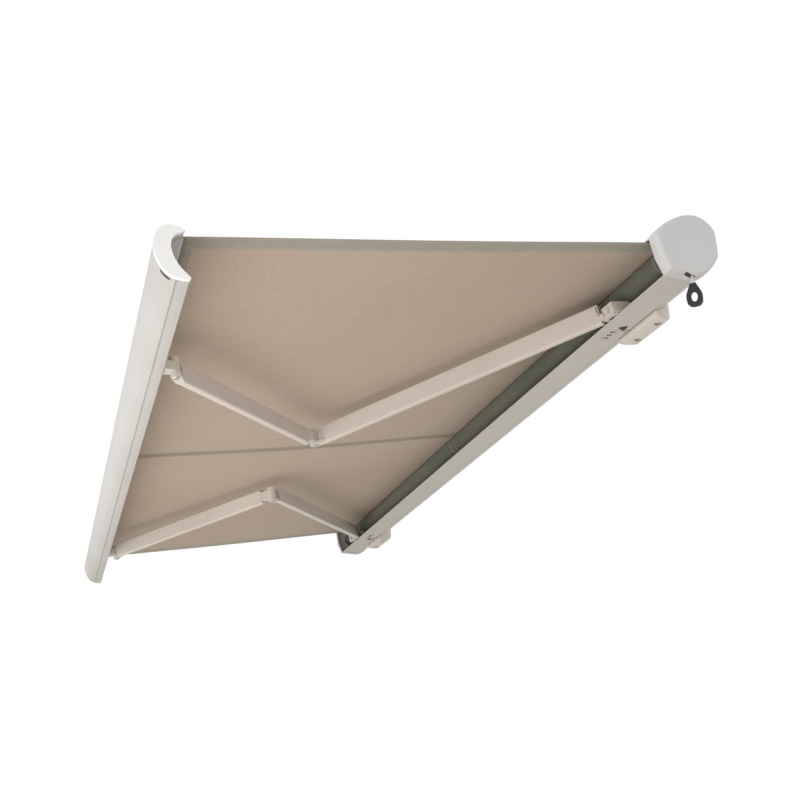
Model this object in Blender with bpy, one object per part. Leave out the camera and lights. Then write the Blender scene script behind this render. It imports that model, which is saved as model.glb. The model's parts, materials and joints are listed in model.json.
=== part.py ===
"""Folding-arm awning: a wall cassette, two folding arms, a front bar and its canopy.

X runs along the cassette towards the crank end, +Y points into the wall and +Z is up.
The origin lies on the cassette's flat back, at mid-width and half-way up its flat strip.
Sections are drawn as (u, z): u is the distance out from the wall, so Y = -u, and z is the
height above the base rail's underside, which lies ORIGIN_HEIGHT below the origin.
"""
import math

import bmesh
import bpy
from mathutils import Matrix, Vector

# Driving dimensions of the whole awning, in metres and degrees
FABRIC_WIDTH = 3.500
CASSETTE_LENGTH = 3.5294
BAR_LENGTH = 3.5450
ORIGIN_HEIGHT = 0.1265
CLEARANCE = 0.0003
RUNNING_GAP = 0.0010
ROUND_SIDES = 20
ROOT_NAME = "awning"

# Cassette section: corners and handles of its curves, as (u, z)
HOOD_LIP = (0.2262, 0.1230)
HOOD_LIP_HANDLE = (0.2095, 0.1465)
HOOD_TOP_HANDLE_FRONT = (0.1440, 0.2170)
HOOD_TOP = (0.0790, 0.2200)
HOOD_TOP_HANDLE_BACK = (0.0360, 0.2200)
HOOD_BACK_HANDLE = (0.0005, 0.1860)
BACK_FLAT_TOP = 0.1500
BACK_FLAT_BOTTOM = 0.1030
BACK_FOOT_HANDLE_TOP = (0.0005, 0.0700)
BACK_FOOT_HANDLE_BOTTOM = (0.0600, 0.0005)
BACK_FOOT = (0.0972, 0.0005)
SHELL = 0.003
CURVE_STEPS = 9

# Base rail under the roller
RAIL_BACK = 0.0983
RAIL_STEP = 0.1535
RAIL_FRONT = 0.1900
RAIL_HEIGHT = 0.0220
RAIL_LIP_HEIGHT = 0.0028
RAIL_WALL = 0.002

# End caps
CAP_MARGIN = 0.0030
CAP_DEPTH = 0.0380
CAP_WALL = 0.0042
CAP_ROUND = 0.026
CAP_INSET = 0.014
CAP_ROUND_STEPS = 6
CAP_MOUTH = (0.2120, 0.0530)
CAP_FRONT_FOOT = (0.1885, 0.0020)

# Roller
ROLL_U = 0.1320
ROLL_Z = 0.0924
ROLL_RADIUS = 0.0415
ROLLER_RADIUS = 0.0390
ROLLER_WALL = 0.0025
ROLL_SIDES = 32
ROLLER_OVERHANG = 0.002
PLUG_DEPTH = 0.050
PLUG_FLANGE = 0.004
ROLLER_SHAFT_RADIUS = 0.008

# Gear drive in the right cap, with its crank eye below
GEAR_U = 0.1040
GEARBOX_RADIUS = 0.034
GEARBOX_SIZE = (0.078, 0.074)
GEARBOX_MIDDLE = (0.1290, 0.0900)
GEARBOX_CORNER = 0.012
GEARBOX_WALL = 0.004
GEARBOX_START = 0.0065
WORM_WHEEL_RADIUS = 0.0215
WORM_WHEEL_TEETH = 14
WORM_TOOTH = 0.003
WORM_WHEEL_WIDTH = 0.008
WORM_RADIUS = 0.0060
WORM_LENGTH = 0.0280
EYE_TURN = 48.0
EYE_SHANK_RADIUS = 0.0048
EYE_LENGTH = 0.0830
EYE_WIDTH = 0.0480
EYE_THICKNESS = 0.010
EYE_HOLE_LENGTH = 0.0360
EYE_HOLE_WIDTH = 0.0190
EYE_DROP = 0.0180

# Arms: pivots, hinge heights and tube sections
SHOULDER_U = 0.1960
SHOULDER_Z = 0.0380
SHOULDER_X = 1.4630
ARM_PITCH = 12.0
REAR_ARM = 1.3035
FRONT_ARM = 1.0175
REST_ANGLE = 34.65
ARM_OFFSET = 0.015
REAR_TUBE_WIDTH = 0.028
REAR_TUBE_HEIGHT = 0.070
FRONT_TUBE_WIDTH = 0.026
FRONT_TUBE_HEIGHT = 0.066
TUBE_WALL = 0.0025
TUBE_CORNER = 0.005
COLLAR_START = 0.040
COLLAR_END = 0.062
PLUG_END = 0.110
NECK_INSET = 0.0006

SHOULDER_HUB_RADIUS = 0.023
SHOULDER_HUB_HALF = 0.027
SHOULDER_HUB_TOP = -0.003
SHOULDER_PIN_RADIUS = 0.008
ELBOW_HUB_RADIUS = 0.018
ELBOW_HUB_HALF = 0.020
ELBOW_FORK_RADIUS = 0.020
ELBOW_FORK_HALF = 0.033
ELBOW_SLOT_RADIUS = 0.038
ELBOW_COLLAR_START = 0.046
ELBOW_RELIEF_END = 0.052
ELBOW_RELIEF_IN = 0.0045
ELBOW_PIN_RADIUS = 0.007
FRONT_HUB_RADIUS = 0.016
FRONT_TONGUE_RADIUS = 0.0145
FRONT_TONGUE_HALF = 0.015
FRONT_SLOT_RADIUS = 0.030
FRONT_PIN_RADIUS = 0.006
OPEN_PIVOT_CLEARANCE = 0.0014
PIN_CLEARANCE = 0.0003
PIN_HEAD_OVER = 0.005
PIN_HEAD_HEIGHT = 0.004

# Tension springs in the front arms
SPRING_RADIUS = 0.0088
SPRING_WIRE = 0.0022
SPRING_ROD_RADIUS = 0.003
SPRING_COILS = 12
SPRING_LENGTH = 0.480
SPRING_SIDES = 10

# Shoulder brackets
SHOULDER_PLATE = 0.0062
SHOULDER_PLATE_RADIUS = 0.028
SHOULDER_WEB_INNER = 0.0315
SHOULDER_WEB_OUTER = 0.050
SHOULDER_WEB_DEPTH = 0.026
SHOULDER_PLATE_BACK = 0.0349
SHOULDER_LEG_BACK = 0.0354
SHOULDER_LEG_FRONT = 0.0310
SHOULDER_LEG_TOP = 0.0050
SHOULDER_BLOCK_IN = 0.024
SHOULDER_BLOCK_U = (0.1180, 0.1538)
SHOULDER_BLOCK_TOP = 0.0475
SCREW_HEAD_RADIUS = 0.0055
SCREW_HEAD_HEIGHT = 0.0035
SCREW_SHANK_RADIUS = 0.003
SCREW_LENGTH = 0.008
SCREW_OUT = 0.0084
SCREW_SPACING = 0.0120

# Wall brackets
WALL_BRACKET_X = 1.4500
WALL_BRACKET_WIDTH = 0.2360
WALL_FACE_WIDTH = 0.1100
WALL_BRACKET_FOOT_U = 0.092
WALL_BRACKET_BOTTOM = -0.018
WALL_BRACKET_FLAT_U = 0.0340
WALL_BRACKET_REAR = 0.0140
BOLT_SPACING = 0.525 * WALL_BRACKET_WIDTH
BOLT_U = 0.050
BOLT_RADIUS = 0.0085
BOLT_HEIGHT = 0.007
BOLT_RECESS_RADIUS = 0.0125
BOLT_RECESS_DEPTH = 0.012
BOLT_SHANK_RADIUS = 0.005
BOLT_SHANK_LENGTH = 0.014

# Front bar: the canopy's front edge from the arms' front pivots, and the section round that edge
BAR_EDGE_OUT = 0.0537
BAR_EDGE_UP = 0.1065
BAR_TOP_TIP = (0.008, -0.004)
BAR_OUTER = ((0.020, 0.004), (0.044, 0.006), (0.066, -0.006), (0.0775, -0.028), (0.0795, -0.052),
             (0.074, -0.080), (0.061, -0.106), (0.042, -0.128), (0.022, -0.139))
BAR_GROOVE = ((0.0165, -0.1405), (0.0165, -0.1370), (0.0125, -0.1372), (0.0125, -0.1410))
BAR_LIP = ((-0.002, -0.1415), (-0.016, -0.1400), (-0.0185, -0.1360))
BAR_INNER = ((-0.008, -0.1270), (0.008, -0.1120), (0.022, -0.0940), (0.033, -0.0730), (0.0385, -0.0500),
             (0.0365, -0.0300), (0.0280, -0.0170), (0.0180, -0.0105))
BAR_EASE_STEPS = 4
BAR_WALL = 0.0025
BAR_CAP_DEPTH = 0.012
BAR_CAP_MARGIN = 0.0010
CANOPY_RAIL_DEPTH = 0.005

# Brackets that join the arms to the bar
BAR_BRACKET_BACK = 0.028
BAR_BRACKET_REACH = 0.036
BAR_BRACKET_TALL = 0.0600
BAR_BRACKET_IN = 0.016
BAR_BRACKET_OUT = 0.034

# Canopy
CANOPY_THICKNESS = 0.0012
CANOPY_IN_RAIL = 0.0095

WHITE_COAT = (0.80, 0.78, 0.75, 1.0)
CAP_WHITE = (0.82, 0.82, 0.82, 1.0)
ALUMINIUM = (0.62, 0.62, 0.61, 1.0)
STEEL = (0.45, 0.45, 0.45, 1.0)
DARK_PLASTIC = (0.05, 0.05, 0.052, 1.0)
CANVAS = (0.50, 0.43, 0.35, 1.0)


def clear_scene():
    for thing in list(bpy.data.objects):
        bpy.data.objects.remove(thing, do_unlink=True)


def make_material(name, colour, roughness, metallic):
    material = bpy.data.materials.new(name)
    material.use_nodes = True
    shader = material.node_tree.nodes["Principled BSDF"]
    shader.inputs["Base Color"].default_value = colour
    shader.inputs["Roughness"].default_value = roughness
    shader.inputs["Metallic"].default_value = metallic
    return material


def add_root():
    root = bpy.data.objects.new(ROOT_NAME, None)
    root.location = (0.0, 0.0, -ORIGIN_HEIGHT)
    bpy.context.collection.objects.link(root)


def add_empty(name, location, rotation_x=0.0, rotation_z=0.0, parent=None):
    """An empty on a joint axis; with the arms' plane as parent, Z is the hinge direction."""
    empty = bpy.data.objects.new(name, None)
    empty.location = location
    empty.rotation_euler = (math.radians(rotation_x), 0.0, math.radians(rotation_z))
    empty.parent = parent or bpy.data.objects[ROOT_NAME]
    bpy.context.collection.objects.link(empty)
    return empty


def add_solid(name, shape, material, parent=None):
    """Make an object from (vertices, faces), with its faces pointing out."""
    vertices, faces = shape
    mesh = bpy.data.meshes.new(name)
    build = bmesh.new()
    corners = [build.verts.new(vertex) for vertex in vertices]
    for face in faces:
        build.faces.new([corners[index] for index in face])
    bmesh.ops.recalc_face_normals(build, faces=build.faces)
    build.to_mesh(mesh)
    build.free()
    mesh.materials.append(material)
    solid = bpy.data.objects.new(name, mesh)
    solid.parent = parent or bpy.data.objects[ROOT_NAME]
    bpy.context.collection.objects.link(solid)
    return solid


def smooth(solid, angle=35.0):
    solid.data.shade_smooth()
    solid.data.set_sharp_from_angle(angle=math.radians(angle))


def apply_boolean(solid, tool, operation):
    tool.hide_render = True
    tool.display_type = "WIRE"
    modifier = solid.modifiers.new(operation.title(), "BOOLEAN")
    modifier.operation = operation
    modifier.solver = "EXACT"
    modifier.object = tool


def along_x(a, b, t):
    """Place a section point (u, z) at the length t along the awning."""
    return (t, -a, b)


def upright(a, b, t):
    """Place a plan point (x, y) at the height t."""
    return (a, b, t)


def prism(outline, low, high, place=upright):
    count = len(outline)
    vertices = [place(a, b, low) for a, b in outline] + [place(a, b, high) for a, b in outline]
    faces = [tuple(range(count)), tuple(range(count, 2 * count))]
    for index in range(count):
        following = (index + 1) % count
        faces.append((index, following, count + following, count + index))
    return vertices, faces


def pipe(outer, inner, low, high, place=upright):
    """A prism with a hole: both outlines have the same number of points."""
    count = len(outer)
    vertices = []
    for outline, height in ((outer, low), (inner, low), (outer, high), (inner, high)):
        vertices.extend(place(a, b, height) for a, b in outline)
    faces = []
    for index in range(count):
        following = (index + 1) % count
        for first, second in ((0, 1), (1, 3), (3, 2), (2, 0)):
            faces.append((first * count + index, first * count + following,
                          second * count + following, second * count + index))
    return vertices, faces


def turned(profile, sides=ROUND_SIDES):
    """Turn a profile of (radius, height) round Z; the profile starts and ends on the axis."""
    vertices = [(0.0, 0.0, profile[0][1])]
    for radius, height in profile[1:-1]:
        for step in range(sides):
            angle = 2.0 * math.pi * step / sides
            vertices.append((radius * math.cos(angle), radius * math.sin(angle), height))
    vertices.append((0.0, 0.0, profile[-1][1]))
    rings = len(profile) - 2
    last = len(vertices) - 1
    faces = []
    for step in range(sides):
        following = (step + 1) % sides
        faces.append((0, 1 + step, 1 + following))
        for ring in range(rings - 1):
            base = 1 + ring * sides
            faces.append((base + step, base + following, base + sides + following, base + sides + step))
        base = 1 + (rings - 1) * sides
        faces.append((base + step, base + following, last))
    return vertices, faces


def moved(shape, matrix):
    vertices, faces = shape
    return [tuple(matrix @ Vector(vertex)) for vertex in vertices], faces


def circle(radius, centre=(0.0, 0.0), sides=ROUND_SIDES):
    points = []
    for step in range(sides):
        angle = 2.0 * math.pi * step / sides
        points.append((centre[0] + radius * math.cos(angle), centre[1] + radius * math.sin(angle)))
    return points


def rectangle(low_a, high_a, low_b, high_b):
    return [(low_a, low_b), (high_a, low_b), (high_a, high_b), (low_a, high_b)]


def rounded_rectangle(width, height, radius, steps=3):
    points = []
    corners = ((1, 1, 0), (-1, 1, 90), (-1, -1, 180), (1, -1, 270))
    for sign_a, sign_b, start in corners:
        centre_a = sign_a * (width / 2 - radius)
        centre_b = sign_b * (height / 2 - radius)
        for step in range(steps + 1):
            angle = math.radians(start + 90 * step / steps)
            points.append((centre_a + radius * math.cos(angle), centre_b + radius * math.sin(angle)))
    return points


def hull(points):
    """The outline of a band stretched round the points."""
    ordered = sorted(set(points))

    def half(sequence):
        chain = []
        for point in sequence:
            while len(chain) >= 2:
                (ax, ay), (bx, by) = chain[-2], chain[-1]
                if (bx - ax) * (point[1] - ay) - (by - ay) * (point[0] - ax) > 1e-12:
                    break
                chain.pop()
            chain.append(point)
        return chain[:-1]

    return half(ordered) + half(reversed(ordered))


def bezier(start, first_handle, second_handle, end, steps=CURVE_STEPS):
    points = []
    for step in range(steps + 1):
        t = step / steps
        weights = ((1 - t) ** 3, 3 * t * (1 - t) ** 2, 3 * t * t * (1 - t), t ** 3)
        knots = (start, first_handle, second_handle, end)
        points.append(tuple(sum(w * knot[axis] for w, knot in zip(weights, knots)) for axis in (0, 1)))
    return points


def offset_line(points, distance, closed=False):
    """Shift a line of points to its left by a distance, with mitred corners."""
    count = len(points)
    shifted = []
    for index, point in enumerate(points):
        before = points[index - 1] if closed or index > 0 else None
        after = points[(index + 1) % count] if closed or index < count - 1 else None
        normals = []
        for first, second in ((before, point), (point, after)):
            if first is None or second is None:
                continue
            along = Vector(second) - Vector(first)
            along.normalize()
            normals.append(Vector((-along.y, along.x)))
        normal = sum(normals, Vector((0.0, 0.0)))
        normal.normalize()
        reach = distance / max(0.35, normal.dot(normals[0]))
        shifted.append((point[0] + normal.x * reach, point[1] + normal.y * reach))
    return shifted


def ribbon(line, thickness):
    """A thin wall: its two long sides as outlines with matching points, joined into one."""
    return line + list(reversed(offset_line(line, thickness)))


def hood_curve():
    """From the front lip over the top and down to the back's flat."""
    front = bezier(HOOD_LIP, HOOD_LIP_HANDLE, HOOD_TOP_HANDLE_FRONT, HOOD_TOP)
    back = bezier(HOOD_TOP, HOOD_TOP_HANDLE_BACK, HOOD_BACK_HANDLE, (0.0, BACK_FLAT_TOP))
    return front + back[1:]


def back_curve():
    """From the top of the back's flat down and forward to the base rail."""
    foot = bezier((0.0, BACK_FLAT_BOTTOM), BACK_FOOT_HANDLE_TOP, BACK_FOOT_HANDLE_BOTTOM, BACK_FOOT)
    return [(0.0, BACK_FLAT_TOP - RUNNING_GAP)] + foot


def cassette_outline():
    """The whole section anticlockwise as seen from the crank end, u to the right."""
    over_the_top = hood_curve()
    down_the_back = back_curve()
    return over_the_top + down_the_back + [CAP_FRONT_FOOT, CAP_MOUTH]


def plane_point(out, height=0.0):
    """A point in the arms' plane at X = 0: out from the shoulders, height above the plane."""
    pitch = math.radians(ARM_PITCH)
    u = SHOULDER_U + out * math.cos(pitch) + height * math.sin(pitch)
    z = SHOULDER_Z - out * math.sin(pitch) + height * math.cos(pitch)
    return u, z


def front_angle(rear_angle):
    """The front arm's angle that keeps the bar's pivot on its straight path."""
    drop = (REAR_ARM / FRONT_ARM) * (1.0 - math.cos(math.radians(rear_angle)))
    return math.degrees(math.acos(1.0 - drop))


FRONT_REST_ANGLE = front_angle(REST_ANGLE)
FRONT_FORK_HALF = FRONT_TUBE_HEIGHT / 2 - NECK_INSET
FRONT_PIVOT_X = SHOULDER_X - REAR_ARM + FRONT_ARM
ELBOW_X = SHOULDER_X - REAR_ARM * math.cos(math.radians(REST_ANGLE))
ELBOW_OUT = REAR_ARM * math.sin(math.radians(REST_ANGLE))
FRONT_OUT = ELBOW_OUT + FRONT_ARM * math.sin(math.radians(FRONT_REST_ANGLE))
CANOPY_FRONT_U = plane_point(FRONT_OUT)[0] + BAR_EDGE_OUT
CANOPY_FRONT_Z = plane_point(FRONT_OUT)[1] + BAR_EDGE_UP
CAP_START = CASSETTE_LENGTH / 2 + CLEARANCE
CAP_END = CAP_START + CAP_DEPTH
ROLLER_HALF = FABRIC_WIDTH / 2 + ROLLER_OVERHANG
HANDS = (("right", 1.0), ("left", -1.0))


def build_cassette(white, cap_white):
    half = CASSETTE_LENGTH / 2
    # Going over the top from the lip, the inside of the section lies on the left
    hood = add_solid("hood", prism(ribbon(hood_curve(), SHELL), -half, half, along_x), white)
    back = add_solid("back_profile", prism(ribbon(back_curve(), SHELL), -half, half, along_x), white)
    outer = [(RAIL_BACK, 0.0), (RAIL_FRONT - RAIL_LIP_HEIGHT / 2, 0.0), (RAIL_FRONT, RAIL_LIP_HEIGHT / 2),
             (RAIL_FRONT - RAIL_LIP_HEIGHT / 2, RAIL_LIP_HEIGHT), (RAIL_STEP, RAIL_LIP_HEIGHT),
             (RAIL_STEP, RAIL_HEIGHT), (RAIL_BACK, RAIL_HEIGHT)]
    rail = add_solid("base_rail", prism(outer, -half, half, along_x), white)
    channel = rectangle(RAIL_BACK + RAIL_WALL, RAIL_STEP - RAIL_WALL, RAIL_WALL, RAIL_HEIGHT - RAIL_WALL)
    channel_shape = prism(channel, -CASSETTE_LENGTH, CASSETTE_LENGTH, along_x)
    apply_boolean(rail, add_solid("rail_channel_cutter", channel_shape, white), "DIFFERENCE")
    smooth(hood)
    smooth(back)
    for hand, side in HANDS:
        build_end_cap(hand, side, cap_white)


def stack(rings, place):
    """A solid through several outlines with the same number of points: rings holds (outline, height)."""
    count = len(rings[0][0])
    vertices = []
    for outline, height in rings:
        vertices.extend(place(a, b, height) for a, b in outline)
    last = (len(rings) - 1) * count
    faces = [tuple(range(count)), tuple(range(last, last + count))]
    for ring in range(len(rings) - 1):
        base = ring * count
        for index in range(count):
            following = (index + 1) % count
            faces.append((base + index, base + following, base + count + following, base + count + index))
    return vertices, faces


def build_end_cap(hand, side, material):
    """A cup with a rounded outer rim; its back stays level with the cassette's flat back."""
    outline = [(max(u, 0.0), z) for u, z in offset_line(cassette_outline(), -CAP_MARGIN, closed=True)]
    rings = [(outline, side * CAP_START)]
    for step in range(CAP_ROUND_STEPS + 1):
        turn = math.radians(90.0 * step / CAP_ROUND_STEPS)
        inset = CAP_INSET * (1.0 - math.cos(turn))
        x = CAP_END - CAP_ROUND * (1.0 - math.sin(turn))
        rings.append((offset_line(outline, inset, closed=True), side * x))
    cap = add_solid(hand + "_end_cap", stack(rings, along_x), material)
    inside = offset_line(outline, CAP_WALL, closed=True)
    floor = offset_line(outline, CAP_WALL + CAP_INSET / 2, closed=True)
    shape = stack([(inside, side * (CAP_START - CAP_DEPTH)), (inside, side * (CAP_END - CAP_ROUND)),
                   (floor, side * (CAP_END - CAP_WALL))], along_x)
    apply_boolean(cap, add_solid(hand + "_cap_hollow", shape, material), "DIFFERENCE")
    if hand == "right":
        slot = circle(EYE_SHANK_RADIUS + CAP_WALL, (eye_x(), -GEAR_U))
        slot_cutter = add_solid("crank_slot_cutter", prism(slot, -CAP_DEPTH, CAP_DEPTH / 2), material)
        apply_boolean(cap, slot_cutter, "DIFFERENCE")
    smooth(cap)


def eye_x():
    return CAP_START + CAP_DEPTH * 0.52


def across_roller(shape, x):
    """Lay a turned shape along the roller's axis, from x towards +X."""
    lay = Matrix.Translation((x, 0.0, 0.0)) @ Matrix.Rotation(math.pi / 2, 4, "Y")
    return moved(shape, lay)


def build_roller(aluminium, canvas, steel):
    axis = add_empty("roller_axis", (0.0, -ROLL_U, ROLL_Z))
    bore = ROLLER_RADIUS - ROLLER_WALL
    roller_outer = circle(ROLLER_RADIUS, sides=ROLL_SIDES)
    roller_inner = circle(bore, sides=ROLL_SIDES)
    tube = add_solid("roller_tube", pipe(roller_outer, roller_inner, -ROLLER_HALF, ROLLER_HALF, along_x),
                     aluminium, axis)
    roll_outer = circle(ROLL_RADIUS, sides=ROLL_SIDES)
    roll_inner = circle(ROLLER_RADIUS + CLEARANCE, sides=ROLL_SIDES)
    half = FABRIC_WIDTH / 2
    roll = add_solid("fabric_roll", pipe(roll_outer, roll_inner, -half, half, along_x), canvas, axis)
    smooth(tube)
    smooth(roll)
    start = ROLLER_HALF - PLUG_DEPTH
    flange = ROLLER_HALF + CLEARANCE
    shaft_end = CAP_END - CAP_WALL - 2 * RUNNING_GAP
    plug_radius = bore * math.cos(math.pi / ROLL_SIDES) - CLEARANCE
    profile = [(0.0, 0.0), (plug_radius, 0.0), (plug_radius, flange - start),
               (ROLLER_RADIUS, flange - start),
               (ROLLER_RADIUS, flange + PLUG_FLANGE - start),
               (ROLLER_SHAFT_RADIUS, flange + PLUG_FLANGE - start),
               (ROLLER_SHAFT_RADIUS, shaft_end - start), (0.0, shaft_end - start)]
    for name, side in (("drive_plug", 1.0), ("idler_plug", -1.0)):
        shape = across_roller(turned(profile), start)
        if side < 0:
            shape = moved(shape, Matrix.Scale(-1.0, 4, (1.0, 0.0, 0.0)))
        smooth(add_solid(name, shape, steel, axis))
    return axis


def build_drive(axis, steel, dark):
    """A housing round the roller's shaft and the worm beside it, open towards the cap's end."""
    begin = ROLLER_HALF + CLEARANCE + PLUG_FLANGE + GEARBOX_START
    finish = CAP_END - CAP_WALL - CLEARANCE

    def box(shrink):
        width, height = GEARBOX_SIZE
        points = rounded_rectangle(width - 2 * shrink, height - 2 * shrink, GEARBOX_CORNER - shrink)
        return [(GEARBOX_MIDDLE[0] + a, GEARBOX_MIDDLE[1] + b) for a, b in points]

    housing = add_solid("gearbox_housing", prism(box(0.0), begin, finish, along_x), dark)
    hollow = prism(box(GEARBOX_WALL), begin + GEARBOX_WALL, finish + GEARBOX_WALL, along_x)
    apply_boolean(housing, add_solid("gearbox_hollow", hollow, dark), "DIFFERENCE")
    shaft_way = circle(ROLLER_SHAFT_RADIUS + PIN_CLEARANCE, (ROLL_U, ROLL_Z))
    bore = add_solid("gearbox_bore", prism(shaft_way, begin - GEARBOX_WALL, finish, along_x), dark)
    apply_boolean(housing, bore, "DIFFERENCE")
    way_radius = EYE_SHANK_RADIUS + CLEARANCE
    way = prism(circle(way_radius, (eye_x(), -GEAR_U)), 0.0, GEARBOX_MIDDLE[1])
    apply_boolean(housing, add_solid("gearbox_shank_way", way, dark), "DIFFERENCE")
    smooth(housing)

    outline = []
    steps = 4 * WORM_WHEEL_TEETH
    for step in range(steps):
        angle = 2.0 * math.pi * step / steps
        radius = WORM_WHEEL_RADIUS - (WORM_TOOTH if step % 4 < 2 else 0.0)
        outline.append((radius * math.cos(angle), radius * math.sin(angle)))
    middle = eye_x()
    low, high = middle - WORM_WHEEL_WIDTH / 2, middle + WORM_WHEEL_WIDTH / 2
    wheel = add_solid("worm_wheel", prism(outline, low, high, along_x), steel, axis)
    hole = circle(ROLLER_SHAFT_RADIUS + CLEARANCE)
    bore_shape = prism(hole, low - WORM_RADIUS, high + WORM_RADIUS, along_x)
    apply_boolean(wheel, add_solid("worm_wheel_bore", bore_shape, steel, axis), "DIFFERENCE")


def build_idler(axis, dark):
    begin = ROLLER_HALF + CLEARANCE + PLUG_FLANGE + GEARBOX_START
    finish = CAP_END - CAP_WALL - CLEARANCE
    bore_radius = ROLLER_SHAFT_RADIUS + PIN_CLEARANCE
    shape = pipe(circle(GEARBOX_RADIUS), circle(bore_radius), -begin, -finish, along_x)
    smooth(add_solid("idler_bearing", shape, dark, axis))


def build_crank_eye(dark):
    """The shank's axis stands in the right cap; the eye hangs below it."""
    turn = add_empty("crank_axis", (eye_x(), -GEAR_U, 0.0), rotation_z=EYE_TURN)
    top = ROLL_Z + WORM_LENGTH / 2
    pitch = WORM_LENGTH / 6
    profile = [(0.0, -EYE_DROP - EYE_HOLE_WIDTH / 2), (EYE_SHANK_RADIUS, -EYE_DROP - EYE_HOLE_WIDTH / 2),
               (EYE_SHANK_RADIUS, top - WORM_LENGTH)]
    for thread in range(6):
        base = top - WORM_LENGTH + thread * pitch
        profile += [(WORM_RADIUS, base + pitch / 3), (WORM_RADIUS, base + pitch / 2),
                    (EYE_SHANK_RADIUS, base + pitch)]
    profile += [(0.0, top)]
    eye = add_solid("crank_eye", turned(profile, 16), dark, turn)
    ring_shape = moved(pipe(eye_outline(), eye_hole(), -EYE_THICKNESS / 2, EYE_THICKNESS / 2),
                       Matrix.Rotation(math.pi / 2, 4, "X"))
    ring = add_solid("crank_eye_ring", ring_shape, dark, turn)
    apply_boolean(eye, ring, "UNION")
    smooth(eye)


def eye_outline():
    """A drop with a cut foot: narrow at the shank, widest below the hole's middle."""
    half = EYE_WIDTH / 2
    top = -EYE_DROP
    foot = top - EYE_LENGTH
    corners = ((half * 0.30, top), (half * 0.42, top - EYE_LENGTH * 0.12),
               (half * 0.72, top - EYE_LENGTH * 0.32),
               (half * 0.97, top - EYE_LENGTH * 0.52), (half, top - EYE_LENGTH * 0.66),
               (half * 0.93, top - EYE_LENGTH * 0.86), (half * 0.62, top - EYE_LENGTH * 0.97),
               (half * 0.20, foot))
    return list(corners) + [(-a, b) for a, b in reversed(corners)]


def eye_hole():
    centre = -EYE_DROP - EYE_LENGTH * 0.62
    count = 16
    points = []
    for step in range(count):
        angle = math.pi / 2 - 2.0 * math.pi * (step + 0.5) / count
        points.append((EYE_HOLE_WIDTH / 2 * math.cos(angle),
                       centre + EYE_HOLE_LENGTH / 2 * math.sin(angle)))
    return points


def arm_tube(name, length, width, height, offset, material, parent):
    outer = rounded_rectangle(width, height, TUBE_CORNER)
    inner = rounded_rectangle(width - 2 * TUBE_WALL, height - 2 * TUBE_WALL, TUBE_CORNER - TUBE_WALL)
    start = COLLAR_END + CLEARANCE
    shape = pipe(outer, inner, start, length - start, lambda a, b, t: (t, a + offset, b))
    tube = add_solid(name, shape, material, parent)
    smooth(tube)
    return tube


def end_casting(name, tube_width, tube_height, offset, hub, bore, material, parent, flip=None, slot=None,
                slot_radius=ELBOW_SLOT_RADIUS, open_side=False, collar_start=COLLAR_START):
    """An arm's end: a hub on the pivot, a neck, a collar as wide as the tube and a plug in the tube.

    hub is (radius, bottom, top). flip turns the casting to the arm's far end, at that distance.
    slot is the half height of the gap between a fork's two plates. With open_side the gap is open
    on the side away from the offset, where the other arm folds in.
    """
    radius, bottom, top = hub
    neck = hull(circle(radius) + rectangle(collar_start, (collar_start + COLLAR_END) / 2,
                                           offset - tube_width / 2 + NECK_INSET,
                                           offset + tube_width / 2 - NECK_INSET))
    place = Matrix.Identity(4)
    if flip is not None:
        place = Matrix.Translation((flip, 0.0, 0.0)) @ Matrix.Scale(-1.0, 4, (1.0, 0.0, 0.0))
    casting = add_solid(name, moved(prism(neck, bottom, top), place), material, parent)

    def long_part(width, height, corner, low, high):
        section = rounded_rectangle(width, height, corner)
        return moved(prism(section, low, high, lambda a, b, t: (t, a + offset, b)), place)

    collar = long_part(tube_width, tube_height, TUBE_CORNER, collar_start, COLLAR_END)
    plug_width = tube_width - 2 * TUBE_WALL - 2 * CLEARANCE
    plug_height = tube_height - 2 * TUBE_WALL - 2 * CLEARANCE
    plug = long_part(plug_width, plug_height, TUBE_CORNER - TUBE_WALL, COLLAR_END - RUNNING_GAP, PLUG_END)
    apply_boolean(casting, add_solid(name + "_collar", collar, material, parent), "UNION")
    apply_boolean(casting, add_solid(name + "_plug", plug, material, parent), "UNION")
    if slot is not None:
        gap = moved(prism(circle(slot_radius, sides=2 * ROUND_SIDES), -slot, slot), place)
        apply_boolean(casting, add_solid(name + "_slot", gap, material, parent), "DIFFERENCE")
    if open_side:
        away = math.copysign(1.0, -offset)
        sides = sorted((-away * ELBOW_RELIEF_IN, away * 2 * ELBOW_FORK_RADIUS))
        relief = rectangle(0.0, ELBOW_RELIEF_END, sides[0], sides[1])
        opening = moved(prism(relief, -slot - NECK_INSET, slot + NECK_INSET), place)
        apply_boolean(casting, add_solid(name + "_relief", opening, material, parent), "DIFFERENCE")
    hole = moved(prism(circle(bore), -tube_height, tube_height), place)
    apply_boolean(casting, add_solid(name + "_bore", hole, material, parent), "DIFFERENCE")
    smooth(casting)
    return casting


def pivot_pin(name, radius, bottom, top, material, parent):
    """A pin with a head above and below what it holds, which reaches from bottom to top."""
    head = radius + PIN_HEAD_OVER
    dome = head - PIN_HEAD_HEIGHT / 2
    low = bottom - CLEARANCE
    high = top + CLEARANCE
    base = low - PIN_HEAD_HEIGHT
    crown = high + PIN_HEAD_HEIGHT
    profile = [(0.0, base), (dome, base), (head, base + PIN_HEAD_HEIGHT / 2), (head, low), (radius, low),
               (radius, high), (head, high), (head, crown - PIN_HEAD_HEIGHT / 2), (dome, crown),
               (0.0, crown)]
    pin = add_solid(name, turned(profile), material, parent)
    smooth(pin)
    return pin


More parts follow.
